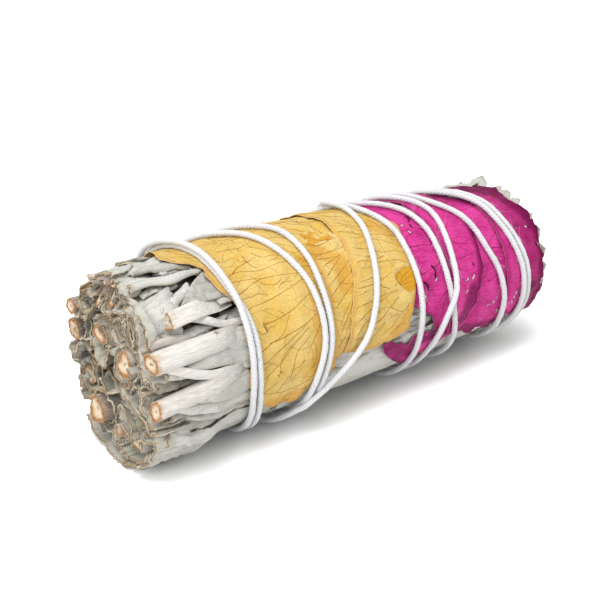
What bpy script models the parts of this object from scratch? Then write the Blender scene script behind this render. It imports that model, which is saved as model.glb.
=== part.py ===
"""A sage smudge stick: sprigs of white sage packed side by side, wrapped in dried rose petals and
bound with one cotton string.

The bundle lies along X on the plane Z = 0, its cut end towards -X. Lengths below are in
millimetres. Places in the bundle are given as x along it, an angle in degrees from the top
towards the front (-Y), and a distance from its axis. The sprigs are laid out on a disc, the cut
face, whose points keep their place as the bundle swells and tapers.
"""

import math

import bmesh
import bpy
import numpy as np

MM = 0.001
NAME = "sage_smudge_stick"
SEED = 7

# The bundle
CUT_X = -51.7
TIP_X = 51.7
CUT_RADIUS = 18.4
MIDDLE_RADIUS = 18.4
TIP_RADIUS = 16.0
FLARE = 0.9
FACE_LEAN = 2.5
AXIS_Z = 18.4
STRING_LIFT = 0.4
SURFACE_SOFTNESS = 16
MIDDLE_OF_BOX = (-1.7, -0.1)

# What lies on what
GAP = 0.3
PETAL_ROOM = 1.25
PETAL_THICKNESS = 0.6
PETAL_STEP = 0.9
STRING_DIAMETER = 1.2
STRING_GAP = 0.45

# The sprigs, by where their stems stand in the cut face (y, z from the axis) and stem radius
STEMS = [
    (-12.8, 10.6, 1.5),
    (-14.6, 5.2, 1.9),
    (-15.0, -3.0, 1.5),
    (4.6, 4.6, 1.6),
    (-4.8, 1.1, 1.8),
    (4.5, -9.8, 1.5),
    (-5.4, -12.9, 1.35),
    (6.2, 13.2, 1.2),
    (-1.6, 14.2, 1.3),
    (-5.2, 8.4, 1.7),
    (14.4, 1.5, 1.6),
    (12.0, 9.1, 1.3),
    (12.2, -6.6, 1.4),
    (-10.8, -8.6, 1.3),
]
STEM_CUT = [4.6, 0.2, 0.0, 0.3, -0.4, -1.2, 0.6, 0.8, 0.2, 1.0, 0.4, 0.0, 0.9, 1.4]
RESTING_SPRIG = 6
RESTING_SIDE = 18.5
RESTING_END = (-46.0, -39.0)
BLADE_THICKNESS = 0.65
CORE_START = 5.6
CORE_STATIONS = (-37.0, -11.0, 17.0)
CORE_END = 45.0
FLAT_ENOUGH = 1.0

# Petals: edges as (angle, x) lists, ends as (part of the width, angle) lists, and how far each
# side edge is lifted over its neighbour, as a share of one petal's step
PETALS = {
    "yellow_petal_1": dict(
        near=[(-64, -31), (-40, -37), (-4, -39.6), (11, -40), (21, -37.3), (29, -37.2), (41, -36),
              (48, -34.8), (96, -34.6), (117, -33.4), (126, -30)],
        far=[(-64, -14), (126, -14)],
        top=[(0, -50), (0.3, -60), (0.7, -63), (1, -58)],
        bottom=[(0, 115), (0.2, 123), (0.45, 125), (0.6, 121), (0.8, 112), (1, 106)],
        lift=(0, 1), over=7, grid=(7, 12), colour="yellow"),
    "yellow_petal_2": dict(
        near=[(-60, -19), (99, -19)],
        far=[(-60, -2.5), (47, -4), (99, -8)],
        top=[(0, -59), (0.5, -63), (1, -57)],
        bottom=[(0, 104), (0.3, 101), (1, 98)],
        lift=(0, 0), over=5, grid=(5, 11), colour="yellow"),
    "yellow_petal_3": dict(
        near=[(-60, -6.5), (-10, -4.5), (28, -4.7), (47, -6.2), (56, -7.1), (66, -8.7), (80, -10),
              (99, -12)],
        far=[(-60, 5), (-1, 8.2), (17, 9.9), (28, 10.9), (39, 10.1), (57, 8.4), (62, 8.9),
             (79, 7.2), (93, 5.4), (99, 3.6)],
        top=[(0, -61), (0.5, -66), (1, -60)],
        bottom=[(0, 98), (0.4, 101), (0.8, 100), (1, 96)],
        lift=(1, 1), over=14, grid=(5, 12), colour="yellow"),
    "yellow_petal_4": dict(
        near=[(208, -27), (230, -31), (262, -30), (284, -25)],
        far=[(208, -9), (240, -3), (270, -4), (284, -8)],
        top=[(0, 217), (0.5, 209), (1, 214)],
        bottom=[(0, 281), (0.5, 287), (1, 279)],
        lift=(0, 0), over=5, grid=(6, 6), colour="yellow"),
    "magenta_petal_1": dict(
        near=[(92, -3), (113, -1), (138, 6)],
        far=[(92, 8), (100, 11), (106, 14.5), (113, 17), (121, 18.6), (138, 12)],
        top=[(0, 103), (0.5, 102.5), (0.8, 105), (1, 110)],
        bottom=[(0, 110), (0.3, 124), (0.6, 136), (0.85, 131), (1, 120)],
        lift=(0, 0), over=4, grid=(5, 4), colour="deep_magenta"),
    "magenta_petal_2": dict(
        near=[(-64, 3), (10, 5.4), (60, 5.6), (74, 7), (79, 9.2), (94, 12.4), (104, 14.2),
              (114, 17)],
        far=[(-64, 20), (114, 22)],
        top=[(0, -58), (0.5, -65), (1, -60)],
        bottom=[(0, 99), (0.5, 104), (1, 110)],
        lift=(0, 0), over=4, grid=(5, 12), colour="magenta"),
    "magenta_petal_3": dict(
        near=[(-60, 17), (112, 18.5)],
        far=[(-60, 25), (0, 27.6), (30, 29.2), (48, 29.4), (75, 28), (96, 25.4), (114, 22.4)],
        top=[(0, -60), (0.5, -66), (1, -57)],
        bottom=[(0, 111), (0.6, 115), (1, 108)],
        lift=(1, 1), over=14, grid=(3, 11), colour="magenta"),
    "magenta_petal_4": dict(
        near=[(-62, 22), (60, 24), (95, 22.5), (114, 21.5), (121, 24)],
        far=[(-62, 38), (60, 40), (125, 40)],
        top=[(0, -57), (0.5, -64), (1, -59)],
        bottom=[(0, 118), (0.2, 120), (0.5, 126), (0.7, 129), (0.85, 122), (1, 115)],
        lift=(0, 0), over=4, grid=(5, 12), colour="magenta"),
    "magenta_petal_5": dict(
        near=[(-52, 35), (40, 36), (125, 36)],
        far=[(-52, 44), (0, 46.2), (8, 48.2), (24, 47.4), (33, 48.8), (46, 50.9), (58, 50.6),
             (70, 49.6), (92, 50.6), (107, 50.4), (112, 48.6), (125, 46)],
        top=[(0, -50), (0.6, -46), (1, -38)],
        bottom=[(0, 116), (0.4, 123), (1, 122)],
        lift=(1, 0), over=5, grid=(6, 11), colour="magenta"),
    "magenta_petal_6": dict(
        near=[(208, 13), (235, 8), (265, 9), (287, 14)],
        far=[(208, 34), (230, 38.5), (262, 40), (287, 34)],
        top=[(0, 216), (0.5, 208), (1, 215)],
        bottom=[(0, 281), (0.4, 288), (1, 280)],
        lift=(0, 0), over=5, grid=(6, 6), colour="magenta"),
}

# The string's way round the bundle as (angle, x), from its first tail to its last. The angle
# keeps growing, 360 a turn. It winds out in eight turns and crosses back over them in two.
STRING_ROUTE = [
    (-134, -42.5), (-122, -40.4), (-110, -37.0), (-90, -35.6), (-60, -37.2), (-30, -38.8),
    (-12, -38.6), (0, -36.6), (15, -34.9), (30, -34.0), (50, -33.0), (75, -32.4), (106, -31.9),
    (125, -30.6), (148, -28.6), (180, -27.6), (215, -28.2), (250, -28.8), (300, -29.2), (330, -28.2),
    (348, -25.8), (360, -23.0), (373, -21.2), (392, -19.2), (410, -17.7), (432, -17.2),
    (446, -17.3), (467, -18.7), (490, -19.5), (510, -19.7),
    (560, -20.2), (610, -22.4), (660, -23.2), (690, -22.0), (705, -20.0), (716, -17.4),
    (726, -15.4), (740, -15.0), (758, -15.0), (772, -15.5), (800, -15.6), (814, -16.1),
    (830, -17.0), (850, -17.8), (870, -17.6),
    (910, -14.4), (950, -8.0), (990, -0.6), (1030, 4.2), (1055, 5.8), (1078, 6.2), (1093, 7.4),
    (1109, 8.8), (1125, 8.6), (1140, 8.6), (1158, 8.8), (1180, 9.1), (1201, 9.7), (1220, 9.8),
    (1240, 9.2),
    (1280, 8.6), (1330, 9.0), (1380, 9.8), (1415, 10.6), (1430, 11.8), (1443, 14.0),
    (1457, 16.2), (1475, 17.0), (1500, 16.9), (1517, 16.5), (1533, 15.5), (1550, 14.9),
    (1572, 13.4), (1590, 12.8),
    (1640, 13.0), (1690, 14.5), (1740, 16.0), (1775, 17.0), (1795, 18.6), (1807, 20.8),
    (1820, 21.9), (1834, 21.6), (1847, 20.0), (1862, 19.1), (1878, 18.3), (1893, 18.0),
    (1903, 18.7), (1922, 20.4), (1942, 22.2), (1960, 22.8),
    (2000, 23.0), (2050, 22.8), (2100, 22.4), (2135, 22.0), (2155, 22.6), (2171, 24.0),
    (2182, 26.4), (2192, 28.6), (2206, 29.7), (2218, 30.5), (2235, 33.0), (2256, 35.0),
    (2278, 36.0), (2294, 37.0), (2310, 37.4),
    (2360, 36.8), (2410, 34.6), (2460, 31.6), (2490, 29.8), (2508, 29.8), (2521, 32.0),
    (2532, 34.4), (2546, 36.7), (2560, 37.4), (2580, 39.2), (2598, 40.8), (2622, 42.0),
    (2638, 42.2), (2652, 40.8), (2670, 39.4),
    (2720, 38.6), (2770, 36.6), (2820, 34.0), (2850, 32.2), (2866, 31.6), (2881, 33.6),
    (2892, 36.0), (2906, 38.3), (2920, 39.0), (2940, 40.8), (2958, 42.4), (2982, 43.6),
    (2998, 43.8), (3012, 42.4), (3030, 41.2),
    (3060, 40.4), (3085, 38.6), (3112, 32.6), (3137, 25.0), (3162, 17.6), (3187, 10.8),
    (3210, 6.2), (3225, 4.4), (3241, 4.0), (3260, 2.7), (3284, -0.3), (3309, -3.2),
    (3329, -6.3), (3341, -10.2), (3352, -15.2), (3362, -19.2), (3378, -22.2), (3395, -23.4),
    (3430, -24.4), (3460, -27.0), (3490, -31.6), (3520, -35.8), (3550, -39.2), (3572, -40.6),
    (3588, -39.9), (3600, -38.2), (3615, -36.5), (3630, -35.6), (3650, -34.6), (3675, -34.0),
    (3706, -33.5), (3725, -32.2), (3748, -30.4), (3780, -29.8), (3815, -31.8), (3838, -34.6),
    (3850, -37.4), (3862, -41.0),
]
STRING_STEP = 20.0
KNOT_ANGLE = 250.0
KNOT_X = -37.2
KNOT_RADIUS = 1.5
KNOT_LIFT = 1.25

COLOURS = {
    "sage": (0.62, 0.62, 0.56, 1.0),
    "yellow": (0.83, 0.57, 0.17, 1.0),
    "magenta": (0.72, 0.03, 0.28, 1.0),
    "deep_magenta": (0.48, 0.02, 0.18, 1.0),
    "cotton": (0.93, 0.93, 0.92, 1.0),
}


def smooth_step(low, high, value):
    t = np.clip((value - low) / (high - low), 0.0, 1.0)
    return t * t * (3.0 - 2.0 * t)


def outline(x, angle):
    """The bundle's radius: a barrel that tapers to the tip, pressed flat where it lies."""
    s = (x - CUT_X) / (TIP_X - CUT_X)
    bulge = MIDDLE_RADIUS - (CUT_RADIUS + TIP_RADIUS) / 2
    barrel = CUT_RADIUS + (TIP_RADIUS - CUT_RADIUS) * s + bulge * 4 * s * (1 - s)
    down = np.maximum(-np.cos(np.radians(angle)), 0.001)
    lying = (AXIS_Z - STRING_LIFT * smooth_step(-46.0, -38.0, x)) / down
    return (barrel**-SURFACE_SOFTNESS + lying**-SURFACE_SOFTNESS) ** (-1 / SURFACE_SOFTNESS)


def sage_radius(x, angle):
    """The radius to which the sage reaches, lower under the petals and flared at the cut end."""
    wrapped = smooth_step(-43.0, -35.0, x)
    return outline(x, angle) - PETAL_ROOM * wrapped + FLARE * (1 - wrapped)


def place(x, angle, radius, lowest=0.0):
    """A point of the bundle, given along, round and out from its axis, no lower than it may be."""
    turn = np.radians(angle)
    y = -radius * np.sin(turn) - MIDDLE_OF_BOX[1]
    z = AXIS_Z + radius * np.cos(turn)
    return np.stack([x - MIDDLE_OF_BOX[0] + 0 * y, y, np.maximum(z, lowest)], axis=-1)


def from_face(x, y, z):
    """A point of the cut face's disc, carried along the bundle to x."""
    angle = np.degrees(np.arctan2(-y, z))
    share = np.hypot(y, z) / CUT_RADIUS
    return place(x, angle, share * sage_radius(x, angle))


def cut_plane(y):
    """Where the slanted cut crosses the bundle, nearer its tip at the back than at the front."""
    return CUT_X + FACE_LEAN * y / CUT_RADIUS


def object_of(name, mesh, collection):
    made = bpy.data.objects.new(name, mesh)
    collection.objects.link(made)
    return made


def mesh_of(name, bm):
    mesh = bpy.data.meshes.new(name)
    bm.to_mesh(mesh)
    bm.free()
    return mesh


def moved_grid(divisions, shape):
    """A square grid whose points go where shape sends them, in triangles."""
    bm = bmesh.new()
    bmesh.ops.create_grid(bm, x_segments=divisions[0], y_segments=divisions[1], size=1.0)
    square = np.array([vert.co[:2] for vert in bm.verts])
    points = shape((square[:, 0] + 1) / 2, (square[:, 1] + 1) / 2) * MM
    for vert, point in zip(bm.verts, points):
        vert.co = point
    bmesh.ops.triangulate(bm, faces=bm.faces[:])
    return bm


def sheet(name, divisions, shape, thickness, outward, collection):
    """A thin sheet on a moved grid, which faces inward, its wall grown outward or inward."""
    made = object_of(name, mesh_of(name, moved_grid(divisions, shape)), collection)
    if outward:
        made.data.flip_normals()
    wall = made.modifiers.new("Wall", "SOLIDIFY")
    wall.thickness = thickness * MM
    wall.offset = 1.0
    wall.use_even_offset = False
    return made


def tube(name, divisions, shape, collection):
    """A closed body on a grid wrapped round in its second direction, with flat ends."""
    bm = moved_grid(divisions, shape)
    bmesh.ops.remove_doubles(bm, verts=bm.verts[:], dist=1e-6)
    bmesh.ops.holes_fill(bm, edges=[edge for edge in bm.edges if edge.is_boundary], sides=0)
    bmesh.ops.triangulate(bm, faces=bm.faces[:])
    bmesh.ops.recalc_face_normals(bm, faces=bm.faces[:])
    return object_of(name, mesh_of(name, bm), collection)


class Cell:
    """The share of the cut face that one sprig fills: what is nearer its stem than any other."""

    def __init__(self, number):
        self.centre = np.array(STEMS[number][:2])
        self.walls = []
        for other, stem in enumerate(STEMS):
            if other != number:
                away = np.array(stem[:2]) - self.centre
                span = np.linalg.norm(away)
                self.walls.append((away / span, span / 2 - GAP / 2))

    def reach(self, turn):
        """How far the cell reaches from its stem in direction turn, and how much of that is rim."""
        ray = np.stack([np.cos(turn), np.sin(turn)], axis=-1)
        along = ray @ self.centre
        to_rim = np.sqrt(along**2 - self.centre @ self.centre + CUT_RADIUS**2) - along
        total = to_rim**-10.0
        for normal, distance in self.walls:
            facing = np.maximum(ray @ normal, 1e-6)
            total = total + (distance / facing) ** -10.0
        limit = total**-0.1
        return limit, (limit / to_rim) ** 8

    def held(self, y, z, margin):
        """Points of the disc pulled back inside the cell."""
        away = np.stack([y, z], axis=-1) - self.centre
        length = np.maximum(np.linalg.norm(away, axis=-1), 1e-6)
        limit, _ = self.reach(np.arctan2(away[..., 1], away[..., 0]))
        share = np.minimum(1.0, (limit - margin) / length)
        return self.centre + away * share[..., None]


def sprig_core(name, cell, rng, collection):
    """The packed length of the sprig: its cell's shape, with the folds of its leaves in the rim."""
    phase = rng.uniform(0, 2 * np.pi, 3)
    outward = math.atan2(cell.centre[1], cell.centre[0])
    around = 14 if np.hypot(*cell.centre) > 8 else 10
    stations = [cut_plane(cell.centre[0]) + CORE_START, *CORE_STATIONS]
    stations.append(CORE_END + rng.uniform(-1.5, 1.0))

    def shape(u, v):
        x = np.interp(u, np.linspace(0, 1, len(stations)), stations)
        turn = 2 * np.pi * v
        turn = turn - 0.55 * np.sin(turn - outward)
        limit, rim = cell.reach(turn)
        folds = 0.5 + 0.5 * np.sin(7.0 * turn + 1.2 * np.sin(x / 11.0 + phase[0]) + phase[1])
        low = 2.0 * (1 - smooth_step(stations[0], -35.0, x)) + 0.75 * folds
        taper = 1.2 * smooth_step(0.8, 1.0, u)
        radius = limit - 0.1 - rim * low - taper
        y = cell.centre[0] + radius * np.cos(turn)
        z = cell.centre[1] + radius * np.sin(turn)
        return from_face(x, y, z)

    return tube(name, (len(stations) - 1, around), shape, collection)


def curled_leaf(name, cell, share, start, span, cut, rng, collection):
    """A leaf folded round the stem, seen by its cut edge: a waved arc that runs into the core."""
    phase = rng.uniform(0, 2 * np.pi, 2)

    def shape(u, v):
        turn = start + span * v
        limit, rim = cell.reach(turn)
        wave = 1 + 0.10 * np.sin(5 * turn + phase[0]) * (1 - 0.5 * u)
        radius = np.minimum(share * limit * wave, limit - 0.15)
        y = cell.centre[0] + radius * np.cos(turn)
        z = cell.centre[1] + radius * np.sin(turn)
        edge = cut_plane(y) + cut + 0.6 * np.sin(3 * turn + phase[1])
        x = edge + (CORE_START + 1.2 - cut) * u
        return from_face(x, y, z)

    return sheet(name, (1, 6), shape, BLADE_THICKNESS, False, collection)


def flank_leaf(name, cell, side, cut, rng, collection, rests=False):
    """A leaf laid along the outside near the cut end, its long edges curled in.

    The one that rests is pressed flat on the plane that the bundle lies on.
    """
    phase = rng.uniform(0, 2 * np.pi, 2)
    middle = math.degrees(math.atan2(-cell.centre[0], cell.centre[1])) + side
    width = rng.uniform(4.4, 5.6)

    def shape(u, v):
        x = CUT_X + cut + (-33.5 - CUT_X - cut) * u
        across = (2 * v - 1) * width / 2 * (1 - 0.25 * u)
        wander = 0.5 * np.sin(x / 5.0 + phase[0])
        angle = np.radians(middle) + (across + wander) / CUT_RADIUS
        sunk = 0.15 + 0.9 * (2 * v - 1) ** 2 + 0.35 * (1 + np.sin(x / 3.1 + phase[1]))
        sunk = sunk + 1.1 * smooth_step(-45.0, -39.0, x)
        rho = CUT_RADIUS - sunk
        held = cell.held(-rho * np.sin(angle), rho * np.cos(angle), 0.2)
        x = x + FACE_LEAN * held[:, 0] / CUT_RADIUS * (1 - u)
        points = from_face(x, held[:, 0], held[:, 1])
        if rests:
            points[:, 2] *= smooth_step(*RESTING_END, x)
        return points

    return sheet(name, (4, 3), shape, BLADE_THICKNESS, False, collection)


def leaf_tip(name, cell, side, rng, collection):
    """The pointed end of a leaf, standing out of the far end."""
    angle = math.atan2(cell.centre[1], cell.centre[0]) + side
    limit, _ = cell.reach(np.array([angle]))
    base = cell.centre + np.array([math.cos(angle), math.sin(angle)]) * limit[0] * 0.45
    base = base * min(1.0, 13.5 / max(np.hypot(*base), 1e-6))
    lie = rng.uniform(0, np.pi)
    reach = rng.uniform(4.0, TIP_X - 1.0 - 43.0)

    def shape(u, v):
        half = 2.3 * (1 - 0.8 * u**2)
        across = (2 * v - 1) * half
        fold = 0.5 * np.abs(2 * v - 1) * half * 0.5
        y = base[0] + across * math.cos(lie) - (fold + 0.8 * u) * math.sin(lie)
        z = base[1] + across * math.sin(lie) + (fold + 0.8 * u) * math.cos(lie)
        held = cell.held(y, z, 0.75)
        return from_face(42.0 + (reach + 1.0) * u, held[:, 0], held[:, 1])

    return sheet(name, (2, 2), shape, BLADE_THICKNESS, False, collection)


def sprig_stem(name, cell, radius, cut, rng, collection):
    """The woody stem, from its cut end to well inside the core."""
    oval = rng.uniform(0.85, 1.1)

    def shape(u, v):
        turn = 2 * np.pi * v
        y = cell.centre[0] + radius * oval * np.cos(turn)
        z = cell.centre[1] + radius / oval * np.sin(turn)
        held = cell.held(y, z, 0.2)
        x = cut_plane(cell.centre[0]) + cut + (CORE_START + 4 - cut) * u + 0.15 * np.cos(turn)
        return from_face(x, held[:, 0], held[:, 1])

    return tube(name, (1, 8), shape, collection)


def leaf_stalk(name, cell, side, cut, collection):
    """A leaf's own stalk, branching off beside the stem."""
    angle = math.atan2(cell.centre[1], cell.centre[0]) + side

    def shape(u, v):
        turn = 2 * np.pi * v
        reach, _ = cell.reach(np.array([angle]))
        middle = cell.centre + np.array([math.cos(angle), math.sin(angle)]) * reach[0] * 0.62
        y = middle[0] + 0.6 * np.cos(turn)
        z = middle[1] + 0.6 * np.sin(turn)
        held = cell.held(y, z, 0.2)
        x = cut_plane(middle[0]) + cut + (CORE_START + 1.5 - cut) * u
        return from_face(x, held[:, 0], held[:, 1])

    return tube(name, (1, 6), shape, collection)


def main_body(mesh):
    """The largest connected body of a mesh, without sealed hollows or loose scraps."""
    bm = bmesh.new()
    bm.from_mesh(mesh)
    bmesh.ops.triangulate(bm, faces=bm.faces[:])
    waiting = set(bm.faces)
    bodies = []
    while waiting:
        body = []
        front = [waiting.pop()]
        while front:
            face = front.pop()
            body.append(face)
            for edge in face.edges:
                for beside in edge.link_faces:
                    if beside in waiting:
                        waiting.remove(beside)
                        front.append(beside)
        bodies.append(body)
    largest = max(bodies, key=len)
    scraps = [face for body in bodies if body is not largest for face in body]
    bmesh.ops.delete(bm, geom=scraps, context="FACES")
    bmesh.ops.dissolve_limit(bm, angle_limit=math.radians(FLAT_ENOUGH), verts=bm.verts[:],
                             edges=bm.edges[:], use_dissolve_boundaries=False)
    bmesh.ops.triangulate(bm, faces=bm.faces[:])
    bm.to_mesh(mesh)
    bm.free()


def fuse(name, first, pieces, parts, material):
    """One closed body from a first solid and the pieces that grow out of it."""
    join = first.modifiers.new("Join", "BOOLEAN")
    join.operand_type = "COLLECTION"
    join.operation = "UNION"
    join.solver = "MANIFOLD"
    join.collection = pieces
    bpy.context.view_layer.update()
    graph = bpy.context.evaluated_depsgraph_get()
    mesh = bpy.data.meshes.new_from_object(first.evaluated_get(graph))
    mesh.name = name
    main_body(mesh)
    for used in [first, *pieces.objects]:
        bpy.data.objects.remove(used)
    mesh.materials.clear()
    mesh.materials.append(material)
    return object_of(name, mesh, parts)


def make_sprig(number, parts, pieces, material):
    """A leafy stem: its packed core, its stem, and the leaves that stand out at both ends."""
    name = f"sage_sprig_{number + 1:02d}"
    rng = np.random.default_rng(SEED + number)
    cell = Cell(number)
    radius, cut = STEMS[number][2], STEM_CUT[number]
    core = sprig_core(name, cell, rng, parts)
    sprig_stem("stem", cell, radius, cut, rng, pieces)
    outward = math.atan2(cell.centre[1], cell.centre[0])
    outer = np.hypot(*cell.centre) > 8
    turn = outward + np.pi - 1.9
    curled_leaf("leaf_a", cell, 0.93, turn, 3.8, rng.uniform(0.2, 1.6), rng, pieces)
    curled_leaf("leaf_b", cell, 0.66, turn + 1.5, 3.2, rng.uniform(0.2, 1.6), rng, pieces)
    if number == RESTING_SPRIG:
        flank_leaf("leaf_e", cell, RESTING_SIDE, 0.8, rng, pieces, rests=True)
    if outer:
        flank_leaf("leaf_c", cell, -6.5, rng.uniform(0.0, 1.6), rng, pieces)
        flank_leaf("leaf_d", cell, 7.0, rng.uniform(0.0, 1.6), rng, pieces)
        leaf_stalk("stalk", cell, rng.uniform(-1.2, 1.2), rng.uniform(-0.6, 0.8), pieces)
        leaf_tip("tip_a", cell, 0.9, rng, pieces)
        leaf_tip("tip_b", cell, -1.0, rng, pieces)
    else:
        curled_leaf("leaf_c", cell, 0.9, turn + 3.6, 2.4, rng.uniform(0.2, 1.6), rng, pieces)
        leaf_tip("tip_a", cell, 0.4, rng, pieces)
    return fuse(name, core, pieces, parts, material)


def petal_lift(petal, x, angle):
    """How far a petal is raised over its neighbours, from one lifted side edge to the other."""
    near = np.interp(angle, *zip(*petal["near"]))
    far = np.interp(angle, *zip(*petal["far"]))
    low, high = petal["lift"]
    from_near = smooth_step(near + petal["over"], near + petal["over"] + 4, x)
    from_far = smooth_step(far - petal["over"] - 4, far - petal["over"], x)
    return np.maximum(low * (1 - from_near), high * from_far)


def petal_radius(petal, x, angle):
    """The radius of a petal's underside."""
    return sage_radius(x, angle) + GAP + PETAL_STEP * petal_lift(petal, x, angle)


def make_petal(name, petal, parts, material):
    """A dried petal lying on the bundle, cut to its outline."""

    def shape(u, v):
        top = np.interp(u, *zip(*petal["top"]))
        bottom = np.interp(u, *zip(*petal["bottom"]))
        angle = top + (bottom - top) * v
        near = np.interp(angle, *zip(*petal["near"]))
        far = np.interp(angle, *zip(*petal["far"]))
        x = near + (far - near) * u
        return place(x, angle, petal_radius(petal, x, angle))

    made = sheet(name, petal["grid"], shape, PETAL_THICKNESS, True, parts)
    made.data.materials.append(material)
    return made


def petal_tops(x, angle):
    """The highest petal surface at a place, or 0 where there is none."""
    top = np.zeros_like(x)
    for petal in PETALS.values():
        first, last = petal["near"][0][0], petal["near"][-1][0]
        local = (angle - first) % 360 + first
        near = np.interp(local, *zip(*petal["near"]))
        far = np.interp(local, *zip(*petal["far"]))
        inside = (local < last + 3) & (x > near - 1) & (x < far + 1)
        top = np.maximum(top, inside * (petal_radius(petal, x, local) + PETAL_THICKNESS))
    return top


def string_points():
    """The string's middle line: its route, as far out as what it crosses makes it lie."""
    angles, xs = np.array(STRING_ROUTE).T
    smooth = np.linspace(angles[0], angles[-1], 4000)
    x = np.interp(smooth, angles, xs)
    reach = 60
    kernel = np.hanning(2 * reach // 5)
    padded = np.concatenate([np.full(reach, x[0]), x, np.full(reach, x[-1])])
    x = np.convolve(padded, kernel / kernel.sum(), mode="same")[reach:-reach]
    radius = np.maximum(sage_radius(x, smooth), petal_tops(x, smooth))
    radius = radius + STRING_GAP + STRING_DIAMETER / 2
    keep = np.arange(0, len(x), 2)
    angle, x, radius = smooth[keep], x[keep], radius[keep]
    spacing = STRING_DIAMETER + GAP
    for one in range(len(x)):
        turn = (angle[one] - angle[:one] + 180) % 360 - 180
        beside = np.hypot(np.radians(turn) * radius[one], x[:one] - x[one])
        older = angle[:one] < angle[one] - 180
        crossed = older & (beside < 0.85 * spacing)
        if crossed.any():
            radius[one] = max(radius[one], radius[:one][crossed].max() + spacing)
    lifted = np.array([radius[max(0, k - 12): k + 13].max() for k in range(len(radius))])
    rise = np.convolve(np.pad(lifted, 12, mode="edge"), np.full(25, 1 / 25), mode="valid")
    radius = np.maximum(radius, rise)
    at = np.arange(angle[0], angle[-1], STRING_STEP)
    x, radius = np.interp(at, angle, x), np.interp(at, angle, radius)
    return place(x, at, radius, lowest=STRING_DIAMETER / 2)


def make_knot(pieces):
    """The knot: a loop of the string round its own two ends."""
    rim = sage_radius(KNOT_X, KNOT_ANGLE) + STRING_GAP + STRING_DIAMETER / 2 + KNOT_LIFT
    bpy.ops.mesh.primitive_torus_add(
        major_segments=10, minor_segments=6, major_radius=KNOT_RADIUS * MM,
        minor_radius=STRING_DIAMETER / 2 * MM,
        location=place(KNOT_X, KNOT_ANGLE, rim) * MM,
        rotation=(math.radians(KNOT_ANGLE + 90), 0, 0))
    knot = bpy.context.object
    for collection in list(knot.users_collection):
        collection.objects.unlink(knot)
    pieces.objects.link(knot)


def make_string(parts, pieces, material):
    """The cotton string in one length, its ends tied in a small knot at the back."""
    points = string_points()
    line = bpy.data.curves.new("cotton_string", "CURVE")
    line.dimensions = "3D"
    line.bevel_depth = STRING_DIAMETER / 2 * MM
    line.bevel_resolution = 2
    line.use_fill_caps = True
    spline = line.splines.new("POLY")
    spline.points.add(len(points) - 1)
    for point, place_mm in zip(spline.points, points):
        point.co = (*(place_mm * MM), 1.0)
    string = object_of("string_line", line, parts)
    bpy.context.view_layer.update()
    graph = bpy.context.evaluated_depsgraph_get()
    mesh = bpy.data.meshes.new_from_object(string.evaluated_get(graph))
    bpy.data.objects.remove(string)
    bm = bmesh.new()
    bm.from_mesh(mesh)
    bmesh.ops.remove_doubles(bm, verts=bm.verts[:], dist=1e-6)
    bm.to_mesh(mesh)
    bm.free()
    make_knot(pieces)
    return fuse("cotton_string", object_of("string_line", mesh, parts), pieces, parts, material)


def material_of(name, roughness):
    made = bpy.data.materials.new(name)
    made.use_nodes = True
    shader = made.node_tree.nodes["Principled BSDF"]
    shader.inputs["Base Color"].default_value = COLOURS[name]
    shader.inputs["Roughness"].default_value = roughness
    shader.inputs["Metallic"].default_value = 0.0
    made.diffuse_color = COLOURS[name]
    return made


def main():
    for old in list(bpy.data.objects):
        bpy.data.objects.remove(old)
    parts = bpy.data.collections.new(NAME)
    pieces = bpy.data.collections.new("pieces")
    bpy.context.scene.collection.children.link(parts)
    bpy.context.scene.collection.children.link(pieces)
    materials = {name: material_of(name, 0.85) for name in COLOURS}
    for number in range(len(STEMS)):
        make_sprig(number, parts, pieces, materials["sage"])
    for name, petal in PETALS.items():
        make_petal(name, petal, parts, materials[petal["colour"]])
    make_string(parts, pieces, materials["cotton"])
    bpy.data.collections.remove(pieces)


main()
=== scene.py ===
# %% [markdown]
# # A sage smudge stick
# A handful of dried white sage is laid side by side, cut square at one end, wrapped in dried rose
# petals and bound with one cotton string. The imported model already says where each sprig, each
# petal and the string are. This lesson builds the surfaces that are seen: felted leaves with brown
# cut rims, veined petals and twisted cotton. All lengths are in millimetres until a mesh is made.

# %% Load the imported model
import math

import bpy
import numpy as np
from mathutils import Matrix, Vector


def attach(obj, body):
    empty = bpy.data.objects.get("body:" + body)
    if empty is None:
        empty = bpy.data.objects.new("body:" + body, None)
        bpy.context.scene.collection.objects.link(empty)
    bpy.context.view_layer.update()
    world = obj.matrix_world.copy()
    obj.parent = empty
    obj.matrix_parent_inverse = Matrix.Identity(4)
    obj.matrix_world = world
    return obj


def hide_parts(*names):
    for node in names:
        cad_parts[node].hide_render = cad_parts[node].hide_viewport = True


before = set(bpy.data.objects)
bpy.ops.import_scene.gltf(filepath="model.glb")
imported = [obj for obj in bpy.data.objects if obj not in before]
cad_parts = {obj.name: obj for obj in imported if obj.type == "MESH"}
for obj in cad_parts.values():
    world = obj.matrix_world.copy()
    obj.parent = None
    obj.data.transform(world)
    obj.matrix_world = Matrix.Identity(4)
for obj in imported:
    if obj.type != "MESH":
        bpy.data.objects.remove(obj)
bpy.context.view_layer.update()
MM = 0.001
print("solids in the packed model:", len(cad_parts))

# %% [markdown]
# ## The camera
# It stands to the front left of the cut end, a little above it, as the photographer did. The
# direction is given by two angles, so that the same numbers could be read off a tripod.

# %% Camera
AZIMUTH, ELEVATION = math.radians(-39.9), math.radians(20.5)
LOOKED_AT = Vector((-5.83, 0.1, 20.33)) * MM
DISTANCE = 240 * MM
LENS = 71.3

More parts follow.
